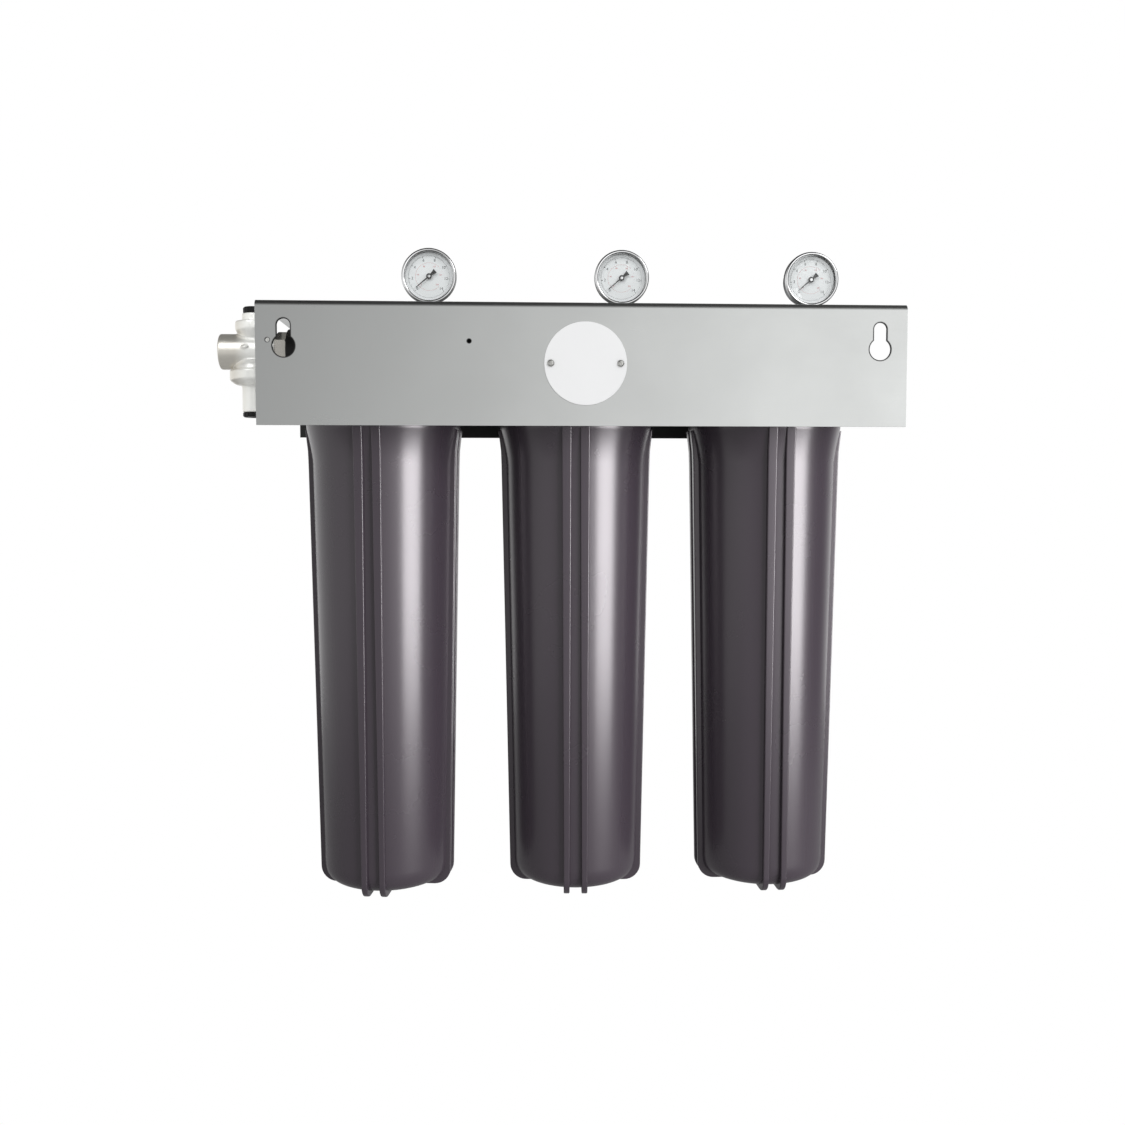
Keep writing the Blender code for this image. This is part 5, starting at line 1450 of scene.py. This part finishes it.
for i in range(BEZEL_ROLL_STEPS + 1):
    a = pi * i / BEZEL_ROLL_STEPS
    fall = BEZEL_ROLL_INSIDE if 2 * i < BEZEL_ROLL_STEPS else BEZEL_ROLL_OUTSIDE
    rolled.append((middle - (bezel_radius - BEZEL_MOUTH) / 2 * cos(a), fall * (sin(a) - 1)))
bezel = turned("bezel", rolled + [
    (bezel_radius, -BEZEL_DEPTH, 0.0003), (BEZEL_INNER, -BEZEL_DEPTH), (BEZEL_INNER, -BEZEL_LIP),
    (BEZEL_MOUTH, -BEZEL_LIP),
], steps=ROUND_STEPS, closed=True)
window = rod("window", WINDOW_RADIUS, WINDOW_BACK, WINDOW_FRONT, steps=ROUND_STEPS, corner=0.0003)
case = turned("case", [
    (0.0, CASE_BACK + CASE_WALL), (CASE_INSIDE, CASE_BACK + CASE_WALL, 0.0015), (CASE_INSIDE, CASE_RIM),
    (WINDOW_RADIUS, CASE_RIM, 0.0002), (WINDOW_RADIUS, CASE_SHOULDER, 0.0003), (CASE_RADIUS, CASE_SHOULDER),
    (CASE_RADIUS, CASE_BACK + 0.0090), (CASE_GROOVE, CASE_BACK + 0.0085), (CASE_GROOVE, CASE_BACK + 0.0080),
    (CASE_RADIUS, CASE_BACK + 0.0075), (CASE_RADIUS, CASE_BACK, CASE_EDGE), (0.0, CASE_BACK),
], steps=ROUND_STEPS)
for piece in (bezel, window, case):
    print(f"{piece.name} with {len(piece.data.polygons)} faces")

# %% [markdown]
# ## Slot in the case
#
# The stem comes up into the cup from below and holds it. A block cuts the slot that its neck goes through, a
# gap wider than the neck.

# %% Cut the slot
STEM_BLOCK = 0.0065
STEM_BLOCK_RISE = 0.0070
STEM_HALF = 0.0070
STEM_OVERLAP = 0.006
square_low = flange_top + 0.0010
square_top = square_low + 0.0120
slot_back = -(axis_y + STEM_HALF + GAP - gauge_face_y)
slot_low = (-STEM_BLOCK - GAP, square_low + STEM_OVERLAP - gauge_z, slot_back)
slot_high = (STEM_BLOCK + GAP, STEM_BLOCK_RISE + GAP, -BEZEL_DEPTH)
combine(case, block("slot", slot_low, slot_high))
smooth(case)
print(f"case with a slot from {slot_low[1]:.4f} to {slot_high[1]:.4f}")

# %% [markdown]
# ## Dial and its print
#
# The dial is a thin white plate. Its scale could be an image, but thin ink as real geometry stays sharp from
# close by: short blocks for the lines, arcs spun from one small face, and plain numbers. These helpers make
# one line, one number and one arc, and join many into one piece.

# %% Dial and ink
DIAL_FACE = -0.0070
DIAL_THICKNESS = 0.0008
DIAL_RADIUS = CASE_INSIDE - GAP
DIAL_HOLE = 0.0016
INK = 0.00006
SCALE_START = radians(225)
SCALE_SWEEP = radians(270)
SCALE_END = SCALE_START - SCALE_SWEEP
ARC_STEPS = 48
dial = rod("dial", DIAL_RADIUS, DIAL_FACE - DIAL_THICKNESS, DIAL_FACE, steps=ROUND_STEPS, corner=0.0001)
combine(dial, rod("dial_hole", DIAL_HOLE, DIAL_FACE - ABOVE, DIAL_FACE + ABOVE, steps=FEW_STEPS))
smooth(dial)


def tick(angle, inner, outer, width):
    """A radial line of ink."""
    line = block("tick", (inner, -width / 2, DIAL_FACE), (outer, width / 2, DIAL_FACE + INK))
    return put(line, ORIGIN, (0.0, 0.0, angle))


def numeral(value, size, radius, angle):
    """A plain upright number, centred on its radius."""
    text = add(bpy.ops.object.text_add, "numeral")
    text.data.body = str(value)
    text.data.size = size
    text.data.align_x = text.data.align_y = "CENTER"
    text.data.resolution_u = 3
    text.data.extrude = INK / 2
    bpy.ops.object.convert(target="MESH")
    return put(bpy.context.object, (radius * cos(angle), radius * sin(angle), DIAL_FACE + INK / 2))


def arc_line(radius, width):
    """A thin arc of ink along the whole scale, spun from one small face."""
    line = block("arc", (radius - width / 2, -MERGE, DIAL_FACE), (radius + width / 2, MERGE, DIAL_FACE + INK))
    edit(line)
    pick("faces", lambda f: f.calc_center_median().y < 0)
    bpy.ops.mesh.delete(type="FACE")
    pick("faces", lambda f: f.calc_center_median().y > MERGE / 2)
    spin(ARC_STEPS, SCALE_START - SCALE_END)
    bpy.ops.mesh.select_all(action="SELECT")
    bpy.ops.mesh.fill_holes(sides=0)
    weld()
    return put(line, ORIGIN, (0.0, 0.0, SCALE_END))


def gather(pieces, name):
    """Joins loose pieces into one object."""
    bpy.ops.object.select_all(action="DESELECT")
    for piece in pieces:
        piece.select_set(True)
    bpy.context.view_layer.objects.active = pieces[0]
    bpy.ops.object.join()
    pieces[0].name = pieces[0].data.name = name
    return pieces[0]


print(f"dial plate with {len(dial.data.polygons)} faces")

# %% [markdown]
# ## The two scales
#
# The black scale goes from 0 to 14. It has a line at every fifth of a unit, a longer one at each unit, and a
# thick one with its number at every second unit. The red inner scale has a number at every fourth line.

# %% Print the scales
SCALE_TOP = 14
SCALE_PARTS = SCALE_TOP * 5
SCALE_OUTER = 0.0212
SCALE_ARC = 0.00014
NUMBER_SIZE = 0.0040
NUMBER_RADIUS = 0.0172
RED_PARTS = 20
RED_RADIUS = 0.0140
RED_LINE = 0.00012
RED_NUMBER_SIZE = 0.0020
RED_NUMBER_RADIUS = 0.0113
black = []
for step in range(SCALE_PARTS + 1):
    angle = SCALE_START - SCALE_SWEEP * step / SCALE_PARTS
    major = step % 10 == 0
    inner = SCALE_OUTER - (0.0018 if major else 0.0013 if step % 5 == 0 else 0.0008)
    black.append(tick(angle, inner, SCALE_OUTER, 0.00045 if major else 0.00018))
    if major:
        black.append(numeral(step // 5, NUMBER_SIZE, NUMBER_RADIUS, angle))
black.append(arc_line(SCALE_OUTER, SCALE_ARC))
scale = gather(black, "scale")
red = [arc_line(RED_RADIUS, RED_LINE)]
for step in range(RED_PARTS + 1):
    angle = SCALE_START - SCALE_SWEEP * step / RED_PARTS
    red.append(tick(angle, RED_RADIUS - (0.0010 if step % 4 == 0 else 0.0005), RED_RADIUS, RED_LINE))
    if step % 4 == 0:
        red.append(numeral(step * 10, RED_NUMBER_SIZE, RED_NUMBER_RADIUS, angle))
red_scale = gather(red, "red_scale")
print(f"{len(scale.data.polygons)} and {len(red_scale.data.polygons)} faces of ink")

# %% [markdown]
# ## Pointer
#
# A slim black needle with a broad tail, on a small hub. Its outline is drawn flat and given the thickness of
# thin sheet, and the hub is turned and joined to it. A bright boss covers the end of the arbor.

# %% Needle, hub and boss
POINTER_LOW = DIAL_FACE + 0.0018
POINTER_THICKNESS = 0.0005
POINTER_REST = radians(220.4)
HUB_RADIUS = 0.0029
HUB_HEIGHT = 0.0014
HUB_BORE = 0.0013
hub_top = POINTER_LOW + HUB_HEIGHT
hub_dish = POINTER_LOW + HUB_HEIGHT - 0.0007
needle = draw("pointer", [
    (0.0, 0.00065), (-0.0176, 0.00035), (-0.0176, -0.00035), (0.0, -0.00065), (0.0029, -0.0009),
    (0.0084, -0.0025), (0.0084, 0.0025), (0.0029, 0.0009),
], closed=True)
bpy.ops.mesh.select_all(action="SELECT")
bpy.ops.mesh.edge_face_add()
extrude((0.0, POINTER_THICKNESS, 0.0))
weld()
put(needle, ORIGIN, TO_FRONT)
put(needle, (0.0, 0.0, POINTER_LOW + POINTER_THICKNESS))
combine(needle, turned("hub", [
    (0.0, hub_dish), (0.0018, hub_dish, 0.0001), (0.0020, hub_top, 0.0001), (HUB_RADIUS, hub_top, 0.0004),
    (HUB_RADIUS, POINTER_LOW), (HUB_BORE, POINTER_LOW), (HUB_BORE, POINTER_LOW + 0.0004),
    (0.0, POINTER_LOW + 0.0004),
]), "UNION")
put(needle, ORIGIN, (0.0, 0.0, POINTER_REST - pi))
smooth(needle)
boss = rod("boss", 0.0016, hub_dish, POINTER_LOW + HUB_HEIGHT + 0.0001, corner=0.0003)
print(f"pointer with {len(needle.data.polygons)} faces")

# %% [markdown]
# ## Stem of a gauge
#
# The brass stem screws into the head and carries the gauge. It is built up like the real one: a square for
# the spanner, a thread below it, a neck that goes up into the cup, the arbor of the pointer, and a hole that
# lets the water in.

# %% Brass stem
THREAD_LENGTH = 0.0150
STEM_EDGE = 0.0006
STEM_THREAD_RADIUS = 0.0066
STEM_THREAD_NECK = 0.0056
ARBOR_RADIUS = 0.0010
FEED_RADIUS = 0.0015
stem_low = head_top - THREAD_LENGTH + GAP
neck_front = gauge_face_y + BEZEL_DEPTH + GAP - axis_y
stem = block("stem", (-STEM_HALF, -STEM_HALF, square_low), (STEM_HALF, STEM_HALF, square_top), STEM_EDGE)
thread = [(0.0, square_low + 0.003), (STEM_THREAD_NECK, square_low + 0.003)]
thread += [(STEM_THREAD_NECK, square_low - 0.001)]
thread += zigzag(STEM_THREAD_RADIUS, 0.0008, 0.0013, square_low - 0.001, stem_low + 0.0006)
thread += [(STEM_THREAD_NECK, stem_low), (0.0, stem_low)]
combine(stem, turned("thread", thread), "UNION")
neck = block("neck", (-STEM_BLOCK, neck_front, square_top - STEM_OVERLAP),
             (STEM_BLOCK, STEM_HALF, gauge_z + STEM_BLOCK_RISE), STEM_EDGE)
combine(stem, neck, "UNION")
arbor = rod("arbor", ARBOR_RADIUS, -BEZEL_DEPTH - 0.0035, POINTER_LOW + 0.0002,
            (0.0, gauge_face_y - axis_y, gauge_z), TO_FRONT, FEW_STEPS, 0.0002)
combine(stem, arbor, "UNION")
combine(stem, rod("feed", FEED_RADIUS, stem_low - ABOVE, square_low + STEM_OVERLAP, steps=FEW_STEPS))
smooth(stem)
print(f"stem with {len(stem.data.polygons)} faces")

# %% [markdown]
# ## Three gauges
#
# One set of pieces is made and each is copied to the three heads, faced to the front. The pointer and its
# boss turn with the pointer's joint, and everything else stays still.

# %% Copy the gauges
GAUGE_PIECES = (
    (bezel, "rolled_bezel", "chrome", "bezel"), (window, "window", "clear_window", "lens"),
    (case, "gauge_cup", "chrome", "case"), (dial, "dial_plate", "white_plate", "dial"),
    (scale, "scale", "black_plastic", None), (red_scale, "red_scale", "red_plastic", None),
)
for side in SIDES:
    centre = (house_x[side] + gauge_offset, gauge_face_y, gauge_z)
    for piece, name, slot, stands_for in GAUGE_PIECES:
        nodes = (f"gauge_{stands_for}_{side}",) if stands_for else ()
        dress(copy(piece, f"{name}_{side}", centre, TO_FRONT), "root", slot, *nodes)
    pointer = copy(needle, f"pointer_{side}", centre, TO_FRONT)
    dress(pointer, f"gauge_pointer_{side}", "black_plastic", f"gauge_pointer_{side}")
    dress(copy(boss, f"pointer_boss_{side}", centre, TO_FRONT), f"gauge_pointer_{side}", "chrome")
    made = copy(stem, f"brass_stem_{side}", (centre[0], axis_y, 0.0))
    dress(made, "root", "brass", f"gauge_stem_{side}")
discard(bezel, window, case, dial, scale, red_scale, needle, boss, stem)

# %% [markdown]
# ## Pressure reducing valve
#
# The body is a casting: two turned shapes that meet in soft fillets. A bevel along that curved meeting line
# is hard to control. So the two are joined, remeshed into small even faces and smoothed, which rounds every
# corner that a sand mould would round.

# %% Cast body
VOXEL = 0.00065
CAST_SMOOTHING = 7
INLET_REACH = 0.0339
OUTLET_REACH = 0.0239
BARREL_RADIUS = 0.0180
NECK_TOP = 0.0390
TUBE_END = -0.0623
EYE_X = -0.0060
EYE_Z = 0.0030
cap_low, cap_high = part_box("valve_cap")
valve_at = ((cap_low.x + cap_high.x) / 2, axis_y, port_z)
body = turned("cast_body", [
    (0.0, NECK_TOP), (0.0119, NECK_TOP, 0.0008), (0.0119, 0.0312), (0.0187, 0.0308, 0.0012),
    (0.0190, 0.0226, 0.002), (0.0125, 0.0114, 0.002), (0.0125, -0.0020), (0.0210, -0.0150, 0.002),
    (0.0214, -0.0185), (0.0248, -0.0195, 0.001), (0.0250, -0.0297, 0.002), (0.0188, -0.0340, 0.002),
    (0.0136, -0.0344), (0.0127, -0.0372), (0.0127, TUBE_END + 0.004), (0.0124, TUBE_END, 0.0008),
    (0.0, TUBE_END),
], steps=ROUND_STEPS)
barrel = rod("barrel", BARREL_RADIUS + 0.0002, -INLET_REACH, OUTLET_REACH, turn=ALONG_X, steps=ROUND_STEPS,
             corner=0.001)
combine(body, barrel, "UNION")
eye = turned("eye_ridge", [
    (0.0, 0.0040), (0.0012, 0.0028, 0.0006), (0.0020, 0.0), (0.0012, -0.0028, 0.0006), (0.0, -0.0040),
], steps=FEW_STEPS)
put(eye, ORIGIN, ALONG_X)
put(eye, (EYE_X, -BARREL_RADIUS - 0.0001, EYE_Z))
combine(body, eye, "UNION")
use(body, "REMESH", mode="VOXEL", voxel_size=VOXEL, use_smooth_shade=True)
use(body, "SMOOTH", factor=0.5, iterations=CAST_SMOOTHING)
print(f"casting with {len(body.data.polygons)} faces")

# %% [markdown]
# ## Machined parts of the valve's body
#
# The threads and bores are cut after the smoothing, because on the real casting they are machined and stay
# sharp. The small lamp is kept on the casting, the nipple and the dials, so that it brightens them and leaves
# the black plastic dark.

# %% Tap and bore the casting
VALVE_BORE = 0.0132
VALVE_THREAD_DEPTH = 0.0130
VALVE_MOUTH = VALVE_BORE + 0.0004
FLOW_RADIUS = 0.0080
CHAMBER_RADIUS = 0.0094
CHAMBER_TOP = 0.0140
CAP_BORE_RADIUS = 0.0063
CAST_ANGLE = radians(45)
for end, turn in ((-INLET_REACH, AGAINST_X), (OUTLET_REACH, ALONG_X)):
    tapping = [(0.0, ABOVE), (VALVE_MOUTH, ABOVE), (VALVE_MOUTH, 0.0)]
    tapping += zigzag(VALVE_BORE, PIPE_DEPTH, VALVE_PITCH, -0.0004, -VALVE_THREAD_DEPTH)
    tapping += [(VALVE_BORE - PIPE_DEPTH, -VALVE_THREAD_DEPTH), (0.0, -VALVE_THREAD_DEPTH)]
    combine(body, turned("tapping", tapping, (end, 0.0, 0.0), turn))
combine(body, rod("flow", FLOW_RADIUS, -INLET_REACH - ABOVE, OUTLET_REACH + ABOVE, turn=ALONG_X))
combine(body, rod("chamber", CHAMBER_RADIUS, TUBE_END - ABOVE, CHAMBER_TOP))
combine(body, rod("cap_bore", CAP_BORE_RADIUS, NECK_TOP - 0.0123, NECK_TOP + ABOVE))
put(body, valve_at)
smooth(body, CAST_ANGLE)
dress(body, "root", "plated_casting", "valve_body")
shine_on(small_lamp, [body, nipple] + [bpy.data.objects[f"dial_plate_{side}"] for side in SIDES])

# %% [markdown]
# ## Cap of the valve
#
# A black cap closes the valve's top. Its edge is knurled for grip, like the skirt of a head, with three of
# every six narrow faces pressed in. A block cuts the slot for a coin.

# %% Knurled cap
KNURL_DEPTH = 0.0004
KNURL_EVERY = 6
CAP_RADIUS = 0.0108


def knurled(obj, radius):
    """Presses in half of the narrow faces round a turned edge."""
    press_in(obj, KNURL_DEPTH, radius, radius * 0.01,
             lambda f: abs(f.normal.z) < 0.1 and sector(f) % KNURL_EVERY < KNURL_EVERY // 2)


cap_seat = NECK_TOP + GAP
cap_top = cap_seat + 0.0063
cap = turned("black_cap", [
    (0.0, cap_top), (0.0096, cap_top), (CAP_RADIUS, cap_top - 0.0012), (CAP_RADIUS, cap_seat + 0.0010),
    (0.0104, cap_seat), (0.0060, cap_seat), (0.0060, NECK_TOP - 0.0120), (0.0, NECK_TOP - 0.0120),
], steps=ROUND_STEPS)
knurled(cap, CAP_RADIUS)
combine(cap, block("coin_slot", (-0.0070, -0.0009, cap_top - 0.0012), (0.0070, 0.0009, cap_top + ABOVE)))
put(cap, valve_at)
smooth(cap)
dress(cap, "root", "black_plastic", "valve_cap")

# %% [markdown]
# ## Adjuster of the valve
#
# The knob below the valve sets the pressure. It is knurled in the same way, has a hexagon socket for a key,
# and ends in a plug inside the tube that bears on the spring.

# %% Knurled adjuster
ADJUSTER_RADIUS = 0.0123
PLUG_RADIUS = 0.0089
KEY_RADIUS = 0.0046
SPRING_LOW, SPRING_HIGH = [v.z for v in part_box("valve_spring")]
knob_top = TUBE_END - GAP
knob_low = knob_top - 0.0046
plug_top = SPRING_LOW - GAP - port_z
adjuster = turned("black_adjuster", [
    (0.0, plug_top), (0.0086, plug_top), (PLUG_RADIUS, plug_top - 0.0004), (PLUG_RADIUS, knob_top),
    (0.0119, knob_top), (ADJUSTER_RADIUS, knob_top - 0.0004), (ADJUSTER_RADIUS, knob_low + 0.0012),
    (0.0111, knob_low), (0.0, knob_low),
], steps=ROUND_STEPS)
knurled(adjuster, ADJUSTER_RADIUS)
combine(adjuster, rod("key", KEY_RADIUS, knob_low - ABOVE, knob_low + 0.0034, steps=6))
put(adjuster, valve_at)
smooth(adjuster)
dress(adjuster, "valve_adjuster", "black_plastic", "valve_adjuster")

# %% [markdown]
# ## Piston and spring of the valve
#
# Inside the tube a brass piston with two seal grooves rides on a strong spring. The spring is made like those
# of the buttons, from thicker wire.

# %% Piston and spring
PISTON_RADIUS = 0.0088
PISTON_WAIST = 0.0030
VALVE_COIL_RADIUS = 0.0070
VALVE_WIRE = 0.0009
VALVE_COILS = 5
piston_low, piston_top = [v.z - port_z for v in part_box("valve_piston")]
piston = turned("turned_piston", [
    (0.0, piston_top), (PISTON_RADIUS, piston_top, 0.0003), (PISTON_RADIUS, piston_top - 0.0014),
    (0.0079, piston_top - 0.0014), (0.0079, piston_top - 0.0027), (PISTON_RADIUS, piston_top - 0.0027),
    (PISTON_RADIUS, piston_top - 0.0040, 0.0003), (PISTON_WAIST, piston_top - 0.0040, 0.0006),
    (PISTON_WAIST, piston_low + 0.0080, 0.0006), (PISTON_RADIUS, piston_low + 0.0080, 0.0003),
    (PISTON_RADIUS, piston_low + 0.0050), (0.0076, piston_low + 0.0050), (0.0076, piston_low + 0.0028),
    (PISTON_RADIUS, piston_low + 0.0028), (PISTON_RADIUS, piston_low, 0.0003), (0.0, piston_low),
])
put(piston, valve_at)
dress(piston, "valve_piston", "brass", "valve_piston")
coil = spring("reducing_spring", VALVE_COIL_RADIUS, VALVE_WIRE, VALVE_COILS, SPRING_LOW, SPRING_HIGH,
              (valve_at[0], axis_y, 0.0))
dress(coil, "root", "spring_steel", "valve_spring")
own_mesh(coil)

# %% [markdown]
# ## Size of the scene
#
# The new pieces have to stay inside the box of the imported model. Both boxes are printed, so that they can
# be compared.

# %% Print the two boxes
visual_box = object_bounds()
for label, found in (("packed model", cad_box), ("this scene", visual_box)):
    print(label, [[round(c, 5) for c in corner] for corner in found])
